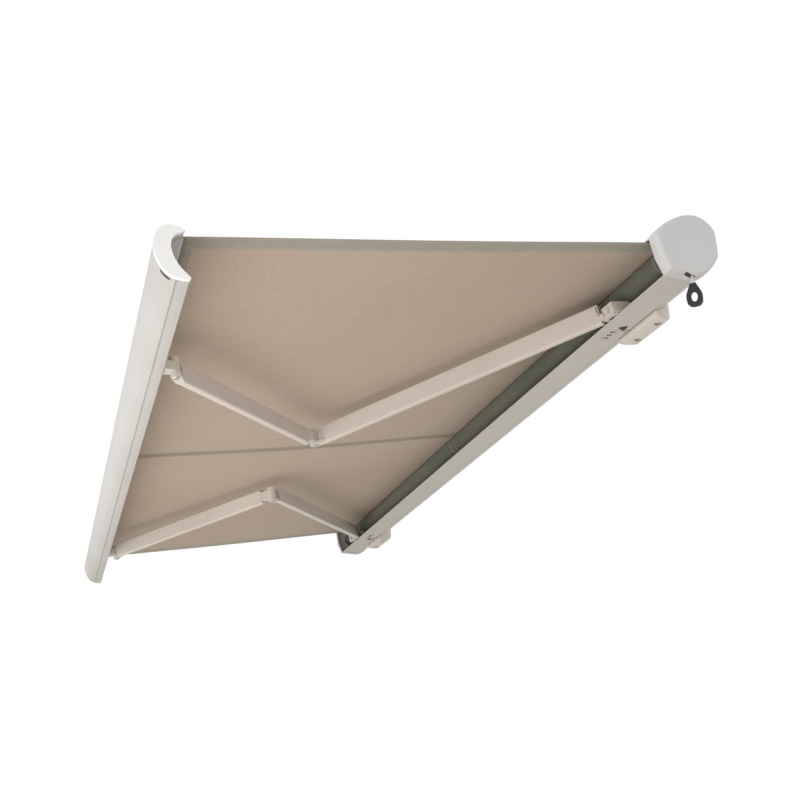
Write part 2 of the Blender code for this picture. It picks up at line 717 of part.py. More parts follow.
def build_spring(name, offset, material, parent):
    """A close-wound tension spring with a rod to the casting at each end of the arm."""
    first = PLUG_END + CLEARANCE
    last = FRONT_ARM - PLUG_END - CLEARANCE
    middle = (first + last) / 2
    start = middle - SPRING_LENGTH / 2
    coil = SPRING_LENGTH / SPRING_COILS
    profile = [(0.0, first), (SPRING_ROD_RADIUS, first), (SPRING_ROD_RADIUS, start)]
    for turn in range(SPRING_COILS):
        base = start + turn * coil
        profile += [(SPRING_RADIUS, base + coil * 0.2), (SPRING_RADIUS, base + coil * 0.8),
                    (SPRING_RADIUS - SPRING_WIRE, base + coil)]
    profile += [(SPRING_ROD_RADIUS, start + SPRING_LENGTH + SPRING_WIRE), (SPRING_ROD_RADIUS, last),
                (0.0, last)]
    lay = Matrix.Translation((0.0, offset, 0.0)) @ Matrix.Rotation(math.pi / 2, 4, "Y")
    smooth(add_solid(name, moved(turned(profile, SPRING_SIDES), lay), material, parent))


def build_arm(hand, side, plane, white, cap_white, steel):
    shoulder = add_empty(hand + "_shoulder", (side * SHOULDER_X, 0.0, 0.0), parent=plane)
    # Each arm's own X runs from its inner pivot to its outer one; the tube lies to one side of that line
    rear_turn = 180.0 + REST_ANGLE if side > 0 else -REST_ANGLE
    rear = add_empty(hand + "_rear_arm_axis", (0.0, 0.0, 0.0), rotation_z=rear_turn, parent=shoulder)
    offset = -side * ARM_OFFSET
    arm_tube(hand + "_rear_arm", REAR_ARM, REAR_TUBE_WIDTH, REAR_TUBE_HEIGHT, offset, white, rear)
    end_casting(hand + "_shoulder_knuckle", REAR_TUBE_WIDTH, REAR_TUBE_HEIGHT, offset,
                (SHOULDER_HUB_RADIUS, -SHOULDER_HUB_HALF, SHOULDER_HUB_TOP),
                SHOULDER_PIN_RADIUS + PIN_CLEARANCE, cap_white, rear)
    end_casting(hand + "_elbow_fork", REAR_TUBE_WIDTH, REAR_TUBE_HEIGHT, offset,
                (ELBOW_FORK_RADIUS, -ELBOW_FORK_HALF, ELBOW_FORK_HALF), ELBOW_PIN_RADIUS + PIN_CLEARANCE,
                cap_white, rear, flip=REAR_ARM, slot=ELBOW_HUB_HALF + CLEARANCE, open_side=True)
    elbow_spot = add_empty(hand + "_elbow_spot", (REAR_ARM, 0.0, 0.0), parent=rear)
    pivot_pin(hand + "_elbow_pin", ELBOW_PIN_RADIUS, -ELBOW_FORK_HALF, ELBOW_FORK_HALF, steel, elbow_spot)

    elbow = add_empty(hand + "_elbow", (side * ELBOW_X, -ELBOW_OUT, 0.0), parent=plane)
    front_turn = -FRONT_REST_ANGLE if side > 0 else 180.0 + FRONT_REST_ANGLE
    front = add_empty(hand + "_front_arm_axis", (0.0, 0.0, 0.0), rotation_z=front_turn, parent=elbow)
    arm_tube(hand + "_front_arm", FRONT_ARM, FRONT_TUBE_WIDTH, FRONT_TUBE_HEIGHT, offset, white, front)
    end_casting(hand + "_elbow_knuckle", FRONT_TUBE_WIDTH, FRONT_TUBE_HEIGHT, offset,
                (ELBOW_HUB_RADIUS, -ELBOW_HUB_HALF, ELBOW_HUB_HALF), ELBOW_PIN_RADIUS + PIN_CLEARANCE,
                cap_white, front, collar_start=ELBOW_COLLAR_START)
    clearance = PIN_CLEARANCE if hand == "right" else OPEN_PIVOT_CLEARANCE
    end_casting(hand + "_front_knuckle", FRONT_TUBE_WIDTH, FRONT_TUBE_HEIGHT, offset,
                (FRONT_HUB_RADIUS, -FRONT_FORK_HALF, FRONT_FORK_HALF), FRONT_PIN_RADIUS + clearance,
                cap_white, front, flip=FRONT_ARM, slot=FRONT_TONGUE_HALF + CLEARANCE,
                slot_radius=FRONT_SLOT_RADIUS)
    build_spring(hand + "_arm_spring", offset, steel, front)


def build_shoulder_bracket(hand, side, plane, cap_white, steel):
    pivot = add_empty(hand + "_shoulder_bracket_place", (side * SHOULDER_X, 0.0, 0.0), parent=plane)
    inner = SHOULDER_HUB_HALF + CLEARANCE
    outer = inner + SHOULDER_PLATE
    top_inner = SHOULDER_HUB_TOP + CLEARANCE
    top_outer = top_inner + SHOULDER_PLATE
    ring = circle(SHOULDER_PLATE_RADIUS)
    low_corners = [(-side * SHOULDER_BLOCK_IN, SHOULDER_PLATE_BACK),
                   (side * (SHOULDER_WEB_OUTER - NECK_INSET / 2), SHOULDER_PLATE_BACK),
                   (side * (SHOULDER_WEB_OUTER - NECK_INSET / 2), -SHOULDER_WEB_DEPTH + NECK_INSET)]
    low_plate = prism(hull(ring + low_corners), -outer, -inner)
    bracket = add_solid(hand + "_shoulder_bracket", low_plate, cap_white, pivot)
    web_outline = rectangle(min(side * SHOULDER_WEB_INNER, side * SHOULDER_WEB_OUTER),
                            max(side * SHOULDER_WEB_INNER, side * SHOULDER_WEB_OUTER),
                            -SHOULDER_WEB_DEPTH, SHOULDER_WEB_DEPTH)
    web_reach = outer - NECK_INSET
    web_top = top_outer - NECK_INSET
    web = add_solid(hand + "_bracket_web", prism(web_outline, -web_reach, web_top), cap_white, pivot)
    apply_boolean(bracket, web, "UNION")
    heel_sides = sorted((side * (SHOULDER_WEB_INNER + NECK_INSET),
                         side * (SHOULDER_WEB_OUTER - NECK_INSET)))
    heel_outline = rectangle(heel_sides[0], heel_sides[1],
                             SHOULDER_WEB_DEPTH - CAP_WALL, SHOULDER_LEG_BACK - NECK_INSET)
    heel = prism(heel_outline, -web_reach + NECK_INSET, web_top - NECK_INSET)
    apply_boolean(bracket, add_solid(hand + "_bracket_heel", heel, cap_white, pivot), "UNION")
    top_corners = [(side * (SHOULDER_WEB_OUTER - NECK_INSET / 2), SHOULDER_WEB_DEPTH - NECK_INSET),
                   (side * (SHOULDER_WEB_OUTER - NECK_INSET / 2), -SHOULDER_WEB_DEPTH + NECK_INSET)]
    top_plate = prism(hull(ring + top_corners), top_inner, top_outer)
    apply_boolean(bracket, add_solid(hand + "_bracket_top", top_plate, cap_white, pivot), "UNION")
    low, high = SHOULDER_BLOCK_U
    floor = RAIL_HEIGHT + CLEARANCE
    foot = -outer + NECK_INSET / 2
    leg = [plane_point(-SHOULDER_LEG_BACK, foot), plane_point(-SHOULDER_LEG_FRONT, foot),
           plane_point(-SHOULDER_LEG_FRONT, SHOULDER_LEG_TOP)]
    block_outline = [(low, floor), (high, floor)] + leg
    block_outline += [(high, SHOULDER_BLOCK_TOP), (low, SHOULDER_BLOCK_TOP)]
    ends = sorted((side * (SHOULDER_X - SHOULDER_BLOCK_IN + NECK_INSET),
                   side * (SHOULDER_X + SHOULDER_WEB_OUTER - NECK_INSET)))
    block = add_solid(hand + "_bracket_block", prism(block_outline, ends[0], ends[1], along_x), cap_white)
    apply_boolean(bracket, block, "UNION")
    bore = add_solid(hand + "_bracket_bore", prism(circle(SHOULDER_PIN_RADIUS + PIN_CLEARANCE), -2 * outer,
                                                   2 * outer), cap_white, pivot)
    apply_boolean(bracket, bore, "DIFFERENCE")
    seat_radius = SHOULDER_PIN_RADIUS + PIN_HEAD_OVER + PIN_CLEARANCE
    sunk = outer - PIN_HEAD_HEIGHT
    sunk_top = top_outer - PIN_HEAD_HEIGHT
    for name, seat_low, seat_high in (("low", -2 * outer, -sunk), ("high", sunk_top, 2 * outer)):
        seat = add_solid(f"{hand}_bracket_seat_{name}", prism(circle(seat_radius), seat_low, seat_high),
                         cap_white, pivot)
        apply_boolean(bracket, seat, "DIFFERENCE")
    screw_x = side * (SHOULDER_WEB_INNER + SHOULDER_WEB_OUTER) / 2
    spots = ((screw_x, -SCREW_OUT), (screw_x, -SCREW_OUT - SCREW_SPACING))
    for number, spot in enumerate(spots, start=1):
        hole = prism(circle(SCREW_SHANK_RADIUS + CLEARANCE, spot, 12), -outer - SCREW_LENGTH,
                     -outer + SCREW_LENGTH + CLEARANCE)
        cutter = add_solid(f"{hand}_bracket_screw_hole_{number}", hole, cap_white, pivot)
        apply_boolean(bracket, cutter, "DIFFERENCE")
        seat = -outer - CLEARANCE
        profile = [(0.0, seat - SCREW_HEAD_HEIGHT), (SCREW_HEAD_RADIUS * 0.8, seat - SCREW_HEAD_HEIGHT),
                   (SCREW_HEAD_RADIUS, seat - SCREW_HEAD_HEIGHT / 2), (SCREW_HEAD_RADIUS, seat),
                   (SCREW_SHANK_RADIUS, seat), (SCREW_SHANK_RADIUS, -outer + SCREW_LENGTH),
                   (0.0, -outer + SCREW_LENGTH)]
        screw = moved(turned(profile, 12), Matrix.Translation((spot[0], spot[1], 0.0)))
        smooth(add_solid(f"{hand}_shoulder_screw_{number}", screw, steel, pivot))
    smooth(bracket)
    pivot_pin(hand + "_shoulder_pin", SHOULDER_PIN_RADIUS, -sunk, sunk_top, steel, pivot)


def build_wall_bracket(hand, side, cap_white, steel):
    """A casting between the wall and the cassette's lower back, which rests in its curve."""
    cradle = []
    for u, z in offset_line(back_curve()[1:], -CLEARANCE):
        if CLEARANCE < u < WALL_BRACKET_FOOT_U:
            cradle.append((u, z))
    outline = [(0.0, cradle[0][1])] + cradle + bracket_underside()
    middle = side * WALL_BRACKET_X
    wide = WALL_BRACKET_WIDTH / 2
    bracket_shape = prism(outline, middle - wide, middle + wide, along_x)
    bracket = add_solid(hand + "_wall_bracket", bracket_shape, cap_white)
    # Seen from below it is a half round: narrow at the wall and wide at the rail
    narrow = WALL_FACE_WIDTH / 2
    flank = bezier((narrow, 0.0), (0.64 * wide, 0.0), (0.84 * wide, WALL_BRACKET_FOOT_U * 0.48),
                   (wide - NECK_INSET, WALL_BRACKET_FOOT_U), 8)
    plan = flank + [(wide - NECK_INSET, 2 * WALL_BRACKET_FOOT_U)]
    plan += [(-a, b) for a, b in reversed(plan)]
    plan = [(middle + a, -b) for a, b in plan]
    keep = prism(plan, -ORIGIN_HEIGHT, 2 * ORIGIN_HEIGHT)
    apply_boolean(bracket, add_solid(hand + "_bracket_plan", keep, cap_white), "INTERSECT")
    for number, step in enumerate((-0.5, 0.5), start=1):
        x = side * WALL_BRACKET_X + step * BOLT_SPACING
        floor = bracket_floor(BOLT_U)
        recess = prism(circle(BOLT_RECESS_RADIUS, (x, -BOLT_U)), WALL_BRACKET_BOTTOM * 2,
                       floor + BOLT_RECESS_DEPTH)
        cutter = add_solid(f"{hand}_bolt_recess_{number}", recess, cap_white)
        apply_boolean(bracket, cutter, "DIFFERENCE")
        seat = floor + BOLT_RECESS_DEPTH
        shank_top = seat + BOLT_SHANK_LENGTH
        hole = prism(circle(BOLT_SHANK_RADIUS + CLEARANCE, (x, -BOLT_U), 16), floor, shank_top + CLEARANCE)
        cutter = add_solid(f"{hand}_bolt_hole_{number}", hole, cap_white)
        apply_boolean(bracket, cutter, "DIFFERENCE")
        head_top = -CLEARANCE
        profile = [(0.0, head_top - BOLT_HEIGHT), (BOLT_RADIUS, head_top - BOLT_HEIGHT),
                   (BOLT_RADIUS, head_top), (BOLT_SHANK_RADIUS, head_top),
                   (BOLT_SHANK_RADIUS, BOLT_SHANK_LENGTH), (0.0, BOLT_SHANK_LENGTH)]
        shape = moved(turned(profile, 12), Matrix.Translation((x, -BOLT_U, seat)))
        smooth(add_solid(f"{hand}_bracket_bolt_{number}", shape, steel))
    smooth(bracket)


def bracket_underside():
    """A wall bracket's lower edge in section, from its foot back to the wall."""
    foot = bezier((WALL_BRACKET_FOOT_U, -CLEARANCE - RUNNING_GAP), (WALL_BRACKET_FOOT_U, WALL_BRACKET_BOTTOM),
                  (WALL_BRACKET_FOOT_U * 0.8, WALL_BRACKET_BOTTOM),
                  (WALL_BRACKET_FLAT_U, WALL_BRACKET_BOTTOM), 5)
    return foot + [(0.0, WALL_BRACKET_REAR)]


def bracket_floor(u):
    """The height of a wall bracket's underside at the distance u from the wall."""
    under = bracket_underside()
    for first, second in zip(under, under[1:]):
        if second[0] <= u <= first[0]:
            share = (u - second[0]) / (first[0] - second[0])
            return second[1] + share * (first[1] - second[1])
    return WALL_BRACKET_BOTTOM


def eased(points):
    """More points on the smooth curve through these."""
    line = []
    last = len(points) - 1
    for index in range(last):
        before = Vector(points[max(index - 1, 0)])
        first = Vector(points[index])
        second = Vector(points[index + 1])
        after = Vector(points[min(index + 2, last)])
        for step in range(BAR_EASE_STEPS):
            t = step / BAR_EASE_STEPS
            spot = 0.5 * (2.0 * first + (second - before) * t
                          + (2.0 * before - 5.0 * first + 4.0 * second - after) * t ** 2
                          + (3.0 * first - before - 3.0 * second + after) * t ** 3)
            line.append((spot.x, spot.y))
    return line + [tuple(points[-1])]


def bar_outline():
    """The bar's section, clockwise from its top tip over the outside to the lip and back inside."""
    return [BAR_TOP_TIP] + eased(BAR_OUTER) + list(BAR_GROOVE) + list(BAR_LIP) + eased(BAR_INNER)


def build_bar(white, cap_white, steel, plane):
    edge = add_empty("bar_place", (0.0, -CANOPY_FRONT_U, CANOPY_FRONT_Z))
    outline = bar_outline()
    half = BAR_LENGTH / 2
    inside = offset_line(outline, -BAR_WALL, closed=True)
    bar = add_solid("front_bar", pipe(outline, inside, -half, half, along_x), white, edge)
    smooth(bar)
    cap_outline = [point for point in offset_line(outline_without_groove(), BAR_CAP_MARGIN, closed=True)]
    for hand, side in HANDS:
        ends = sorted((side * (half + CLEARANCE), side * (half + CLEARANCE + BAR_CAP_DEPTH)))
        cap = add_solid(hand + "_bar_cap", prism(cap_outline, ends[0], ends[1], along_x), cap_white, edge)
        smooth(cap)
    seat = eased(BAR_INNER)[-2 * BAR_EASE_STEPS - 1:] + [BAR_TOP_TIP]
    strip = offset_line(seat, CLEARANCE) + list(reversed(offset_line(seat, CLEARANCE + CANOPY_RAIL_DEPTH)))
    rail_half = FABRIC_WIDTH / 2
    smooth(add_solid("canopy_rail", prism(strip, -rail_half, rail_half, along_x), white, edge))
    for hand, side in HANDS:
        build_bar_bracket(hand, side, plane, cap_white, steel)


def outline_without_groove():
    return [BAR_TOP_TIP] + eased(BAR_OUTER) + list(BAR_LIP) + eased(BAR_INNER)


def build_bar_bracket(hand, side, plane, cap_white, steel):
    """A tongue in the arm's forked end, on a block that follows the inside of the bar."""
    pivot = add_empty(hand + "_bar_bracket_place", (side * FRONT_PIVOT_X, -FRONT_OUT, 0.0), parent=plane)
    pivot_u, pivot_z = plane_point(FRONT_OUT)
    rise = pivot_z - CANOPY_FRONT_Z
    back = pivot_u + BAR_BRACKET_BACK - CANOPY_FRONT_U
    inside = offset_line(eased(BAR_INNER), CLEARANCE)
    seat = [point for point in inside if abs(point[1] - rise) < BAR_BRACKET_TALL]
    block_outline = [point for point in seat if point[0] > back + RUNNING_GAP]
    low_z, high_z = block_outline[0][1], block_outline[-1][1]
    block_outline = [(back, high_z), (back, low_z)] + block_outline
    section = [(CANOPY_FRONT_U + a, CANOPY_FRONT_Z + b) for a, b in block_outline]
    ends = sorted((side * (FRONT_PIVOT_X - BAR_BRACKET_IN), side * (FRONT_PIVOT_X + BAR_BRACKET_OUT)))
    bracket = add_solid(hand + "_bar_bracket", prism(section, ends[0], ends[1], along_x), cap_white)
    corners = [(-side * (BAR_BRACKET_IN - NECK_INSET), -BAR_BRACKET_REACH),
               (side * (BAR_BRACKET_OUT - NECK_INSET), -BAR_BRACKET_REACH)]
    tongue = prism(hull(circle(FRONT_TONGUE_RADIUS) + corners), -FRONT_TONGUE_HALF, FRONT_TONGUE_HALF)
    apply_boolean(bracket, add_solid(hand + "_bar_bracket_tongue", tongue, cap_white, pivot), "UNION")
    bore = prism(circle(FRONT_PIN_RADIUS + PIN_CLEARANCE), -FRONT_TUBE_HEIGHT, FRONT_TUBE_HEIGHT)
    apply_boolean(bracket, add_solid(hand + "_bar_bracket_bore", bore, cap_white, pivot), "DIFFERENCE")
    smooth(bracket)
    pivot_pin(hand + "_front_pin", FRONT_PIN_RADIUS, -FRONT_FORK_HALF, FRONT_FORK_HALF, steel, pivot)


def build_canopy(canvas):
    """A taut sheet from the top of the roll to the rail in the front bar."""
    run_u = CANOPY_FRONT_U - ROLL_U
    run_z = CANOPY_FRONT_Z - ROLL_Z
    length = math.hypot(run_u, run_z)
    radius = ROLL_RADIUS + CLEARANCE
    slope = math.atan2(run_z, run_u) - math.asin(radius / length)
    tangent = (ROLL_U - radius * math.sin(slope), ROLL_Z + radius * math.cos(slope))
    reach = math.sqrt(length ** 2 - radius ** 2) + CANOPY_IN_RAIL
    front = (tangent[0] + reach * math.cos(slope), tangent[1] + reach * math.sin(slope))
    rise = (-CANOPY_THICKNESS * math.sin(slope), CANOPY_THICKNESS * math.cos(slope))
    outline = [tangent, front, (front[0] + rise[0], front[1] + rise[1]),
               (tangent[0] + rise[0], tangent[1] + rise[1])]
    half = FABRIC_WIDTH / 2
    add_solid("canopy", prism(outline, -half, half, along_x), canvas)


def build_awning():
    clear_scene()
    add_root()
    white = make_material("powder_coat", WHITE_COAT, 0.45, 0.0)
    cap_white = make_material("cast_white", CAP_WHITE, 0.4, 0.0)
    aluminium = make_material("plain_aluminium", ALUMINIUM, 0.4, 1.0)
    steel = make_material("steel", STEEL, 0.35, 1.0)
    dark = make_material("dark_plastic", DARK_PLASTIC, 0.5, 0.0)
    canvas = make_material("canvas", CANVAS, 0.9, 0.0)

    build_cassette(white, cap_white)
    axis = build_roller(aluminium, canvas, steel)
    build_drive(axis, steel, dark)
    build_idler(axis, dark)
    build_crank_eye(dark)
    plane = add_empty("arm_plane", (0.0, -SHOULDER_U, SHOULDER_Z), rotation_x=ARM_PITCH)
    for hand, side in HANDS:
        build_wall_bracket(hand, side, cap_white, steel)
        build_shoulder_bracket(hand, side, plane, cap_white, steel)
        build_arm(hand, side, plane, white, cap_white, steel)
    build_bar(white, cap_white, steel, plane)
    build_canopy(canvas)


build_awning()
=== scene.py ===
"""A folding-arm cassette awning, partly let out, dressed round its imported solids."""
import json
import math

import bpy
from mathutils import Matrix, Vector

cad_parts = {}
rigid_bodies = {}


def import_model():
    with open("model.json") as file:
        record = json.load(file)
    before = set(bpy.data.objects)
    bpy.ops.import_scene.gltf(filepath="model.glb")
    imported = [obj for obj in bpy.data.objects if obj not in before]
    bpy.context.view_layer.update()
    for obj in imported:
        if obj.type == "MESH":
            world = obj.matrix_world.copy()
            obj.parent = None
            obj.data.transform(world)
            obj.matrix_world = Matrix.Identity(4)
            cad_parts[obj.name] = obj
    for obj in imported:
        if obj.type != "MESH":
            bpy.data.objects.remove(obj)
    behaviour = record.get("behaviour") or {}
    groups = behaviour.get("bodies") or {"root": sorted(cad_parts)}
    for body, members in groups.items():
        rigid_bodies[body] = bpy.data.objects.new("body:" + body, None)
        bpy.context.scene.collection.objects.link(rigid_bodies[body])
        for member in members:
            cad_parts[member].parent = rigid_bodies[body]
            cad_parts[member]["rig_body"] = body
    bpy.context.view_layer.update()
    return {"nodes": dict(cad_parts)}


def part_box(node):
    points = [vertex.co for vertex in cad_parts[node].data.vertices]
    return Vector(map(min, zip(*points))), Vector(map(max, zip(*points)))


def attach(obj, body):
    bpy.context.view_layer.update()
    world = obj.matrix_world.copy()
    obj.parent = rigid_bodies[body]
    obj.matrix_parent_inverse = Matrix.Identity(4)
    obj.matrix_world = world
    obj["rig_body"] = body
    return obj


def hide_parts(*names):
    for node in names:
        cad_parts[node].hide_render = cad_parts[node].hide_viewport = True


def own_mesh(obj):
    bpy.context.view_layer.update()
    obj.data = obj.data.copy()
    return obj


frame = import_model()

# Lengths are in metres and angles in degrees: x along the awning toward the crank, y toward
# the wall, z up. Pieces that stand at both ends are made once for each hand.
HANDS = (("right", 1.0), ("left", -1.0))

# Camera, as fitted to the photograph; its lens and sensor are in millimetres
CAMERA_PLACE = (3.9502, -1.7949, -1.6377)
CAMERA_TURN = 160.856
CAMERA_RISE = 23.095
CAMERA_ROLL = 0.238
CAMERA_LENS = 44.262
CAMERA_SENSOR = 36.0
CAMERA_REACH = 200.0

# Ground, sky and lamps
FLOOR_HEIGHT = -2.45
FLOOR_HALF = 30.0
FLOOR_TONES = ((0.80, 0.78, 0.75, 1.0), (0.84, 0.82, 0.79, 1.0))
SKY_STRENGTH = 0.72
SKY_COLOUR = (1.0, 0.985, 0.965, 1.0)
BACKDROP_COLOUR = (1.0, 1.0, 1.0, 1.0)
# Name, place, target, size, power in watts and colour of each lamp
LAMPS = (
    ("key", (2.5, -6.5, 0.6), (0.0, -0.9, -0.15), 4.0, 62.0, (0.90, 0.95, 1.0)),
    ("side", (6.5, -0.5, 0.2), (1.0, -0.7, -0.1), 3.0, 45.0, (1.0, 1.0, 1.0)),
    ("under", (0.3, -1.8, -2.35), (0.0, -0.7, -0.1), 4.5, 100.0, (1.0, 0.985, 0.965)),
)

# Canvas: cloth, hems, seam and stitches, and how far its upper layer lies above its line
CANVAS_HALF = 1.750
CANVAS_SINGLE = 0.0007
CANVAS_DOUBLE = 0.0015
ABOVE_LINE = 0.0006
HEM_WIDTH = 0.060
HEM_EDGE = CANVAS_HALF - HEM_WIDTH
FRONT_HEM = 0.034
SEAM_HALF = 0.025
STITCH_PLACES = (HEM_EDGE + 0.004, HEM_EDGE + 0.009, CANVAS_HALF - 0.006,
                 SEAM_HALF - 0.004, SEAM_HALF - 0.010)
THREADS_PER_METRE = 1300.0
STITCH_PITCH = 0.0042

# Canvas: its straight line, measured from the corners of the solid that it stands for
BELOW_TOP = 0.0011
ABOVE_FOOT = 0.0001
CANVAS_LOW, CANVAS_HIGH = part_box("canopy")
CANVAS_START = Vector((0.0, CANVAS_HIGH.y, CANVAS_HIGH.z - BELOW_TOP))
CANVAS_END = Vector((0.0, CANVAS_LOW.y, CANVAS_LOW.z + ABOVE_FOOT))
CANVAS_OUT = (CANVAS_END - CANVAS_START).length
FRONT_FOLD = CANVAS_OUT - FRONT_HEM

# Canvas: rows and columns of its mesh
CANVAS_ROWS = 84
PANEL_COLUMNS = 34
HEM_COLUMNS = (0.0015, 0.015, 0.030, 0.045)
SEAM_COLUMN = 0.012
COLUMN_CLEARANCE = 0.01
ROW_CLEARANCE = 0.004
FOLD_STEP = 0.0008

# Canvas: how it hangs
CANVAS_SAG = 0.011
HEM_SAG = 0.003
SAG_FLATNESS = 8
SEAM_HOLD = 0.0012
SEAM_HOLD_REACH = 0.06
RIPPLE = 0.0007
RIPPLE_ACROSS = 21.0
RIPPLE_SWAY = 1.3
RIPPLE_ALONG = 6.0
PUCKER = 0.0006
PUCKER_ALONG = 95.0
PUCKER_REACH = 0.03

# Rolled canvas; its edge goes outward from the core, each step off the core and in from the end
CANVAS_PITCH = 10.7
ROLL_RADIUS = 0.0415
ROLL_CLEARANCE = 0.0003
ROLL_CORE = 0.0393
ROLL_STEP = 0.0007
ROLL_SIDES = 96
ROLL_HEM_SHARE = 0.7
ROLL_EDGE = ((0.0, 0.0), (0.0009, 0.0), (0.0011, 0.0008), (0.0013, 0.0))

# Small fittings laid on the solids; outlines are length, width and corner radius
LAID_GAP = 0.00005
DARK_LIFT = 0.0003
PLATE_RINGS = 4
LONGEST_EDGE = 0.004
CORNER_STEPS = 5
RING_SIDES = 40
SCREW_SIDES = 24
ALONG_RAIL = (1.0, 0.0, 0.0)

# Latch slot beside each bar cap: in from the bar's end, back from its front and up from its foot
LATCH_PLACE = (0.0120, 0.0360, 0.0145)
LATCH_WAY = (0.0, 0.68, -0.73)
LATCH_RIM = (0.042, 0.0150, 0.0060)
LATCH_HOLE = (0.036, 0.0100, 0.0045)
LATCH_RIM_LIFT = 0.0008
LATCH_DARK_LIFT = 0.0002

# Rail's underside: each place is inward from the shoulder pin and back from the rail's front
RECESS_PLACE = (0.1030, 0.0468)
RECESS_RIM = (0.086, 0.038, 0.0188)
RECESS_FLOOR = (0.080, 0.032, 0.0158)
RECESS_LIFT = 0.0010
MARK_PLACES = (-0.023, 0.0, 0.023)
MARK_BACK = 0.001
MARK_WAY = (0.45, 1.0, 0.0)
MARK_OUTLINE = (0.0180, 0.0080, 0.0034)
OPENING_PLACE = (0.0440, 0.0640)
OPENING_OUTLINE = ((-0.018, -0.011), (0.016, -0.012), (0.018, -0.006), (0.003, 0.013),
                   (-0.006, 0.012))
SCREW_PLACE = (0.0570, 0.0840)
SCREW_RADIUS = 0.0105
SCREW_HEIGHT = 0.0036

# Stepped joint line on the right shoulder's cover: place, direction and length of each part
STEP_LINE = (((1.4245, -0.2235, -0.0790), (0.10, 0.21, -0.98), 0.024),
             ((1.4390, -0.2195, -0.0990), (1.00, -0.10, 0.10), 0.026),
             ((1.4530, -0.2160, -0.1080), (0.05, 0.21, -0.98), 0.016))
STEP_LINE_WIDTH = 0.0032
STEP_LINE_CORNER = 0.0014

# Rings in the left cap: in from its outer side, and off the roll's axis
CAP_RINGS = ((0.062, 0.056), (0.036, 0.031))
CAP_RING_PLACE = (0.0042, -0.0240, -0.0319)
CAP_RING_LIFT = 0.0009

# Opening in the right cap: off the cap's outer side, the crank's middle and the cap's foot
CRANK_OPENING_PLACE = (-0.0125, -0.0175, 0.0028)
CRANK_OPENING_WAY = (0.3, -1.0, 0.2)
CRANK_OPENING = (0.028, 0.013, 0.0055)

# Height at which the crank's bright shank enters its dark eye
SHANK_FOOT = -0.150

# Colours, as linear shares
# Canvas sheet: a warm beige that holds painted light, the glow of light shining through the cloth
CANVAS_PAINTED_BACKLIGHT = (0.480, 0.386, 0.300, 1.0)
CANVAS_PAINTED_BACKLIGHT_WARM = (0.455, 0.356, 0.272, 1.0)
# Hems and seam: darker, painted shade where the doubled cloth lets less light through
CANVAS_HEM_PAINTED_SHADE = (0.345, 0.320, 0.262, 1.0)
CANVAS_SEAM_PAINTED_SHADE = (0.285, 0.240, 0.180, 1.0)
# Rolled canvas: the same cloth in painted shade, darker on the roll inside the cassette
CANVAS_ROLLED_PAINTED_SHADE = (0.150, 0.158, 0.118, 1.0)
CANVAS_ROLLED_PAINTED_DEEP_SHADE = (0.105, 0.112, 0.084, 1.0)
THREAD = (0.560, 0.500, 0.420, 1.0)
# One white powder coat, given a lighter or darker colour per part for how light falls on it:
# painted shade on the arms and castings (warmed as by bounce light), bar, hood, cassette and end
# caps; painted light on the bar caps
ARM_COAT_PAINTED_WARM_SHADE = (0.640, 0.585, 0.530, 1.0)
BAR_COAT_PAINTED_SHADE = (0.490, 0.476, 0.458, 1.0)
CASSETTE_COAT_PAINTED_SHADE = (0.510, 0.485, 0.445, 1.0)
CAP_COAT_PAINTED_SHADE = (0.590, 0.585, 0.585, 1.0)
BAR_CAP_COAT_PAINTED_LIGHT = (0.920, 0.920, 0.920, 1.0)
DUST = (0.480, 0.430, 0.360, 1.0)
# Near black: painted shade for the inside of slots and openings, and the dark colour of joint lines
# and recess marks
HOLE_SHADE_AND_JOINT_DARK = (0.030, 0.028, 0.026, 1.0)
MILL_ALUMINIUM = (0.66, 0.66, 0.65, 1.0)
ZINC_PLATE = (0.60, 0.59, 0.56, 1.0)
DARK_PLASTIC = (0.022, 0.023, 0.025, 1.0)
EYE_DARK = (0.019, 0.020, 0.022, 1.0)
EYE_PALE = (0.026, 0.027, 0.029, 1.0)
EYE_RUBBED = (0.045, 0.046, 0.048, 1.0)
SHANK_BRIGHT = (0.66, 0.65, 0.63, 1.0)
SHANK_DULL = (0.46, 0.45, 0.43, 1.0)


# ---------------------------------------------------------------- node helpers

def node(tree, kind, **settings):
    """A new node of that kind, with its own settings."""
    made = tree.nodes.new(kind)
    for name, value in settings.items():
        setattr(made, name, value)
    return made


def feed(tree, socket, value):
    """Link an output to the socket, or set the socket to a constant."""
    if hasattr(value, "links"):
        tree.links.new(value, socket)
    else:
        socket.default_value = value


def arithmetic(tree, operation, first, second=None, clamp=False):
    """The result of one sum on outputs or numbers."""
    made = node(tree, "ShaderNodeMath", operation=operation, use_clamp=clamp)
    feed(tree, made.inputs[0], first)
    if second is not None:
        feed(tree, made.inputs[1], second)
    return made.outputs[0]


def ramp(tree, value, low, high, to_low=0.0, to_high=1.0):
    """Value from low..high carried to to_low..to_high, held at the ends."""
    made = node(tree, "ShaderNodeMapRange", clamp=True)
    tree.links.new(value, made.inputs["Value"])
    for name, number in (("From Min", low), ("From Max", high),
                         ("To Min", to_low), ("To Max", to_high)):
        made.inputs[name].default_value = number
    return made.outputs["Result"]


def past(tree, value, edge, blur, before=0.0, after=1.0):
    """One number before an edge and another after it, blurred a little to each side."""
    return ramp(tree, value, edge - blur, edge + blur, before, after)


def mixed(tree, share, first, second):
    """The first colour, turning to the second as the share goes from 0 to 1."""
    made = node(tree, "ShaderNodeMix", data_type="RGBA", blend_type="MIX")
    for number, value in ((0, share), (6, first), (7, second)):
        feed(tree, made.inputs[number], value)
    return made.outputs[2]


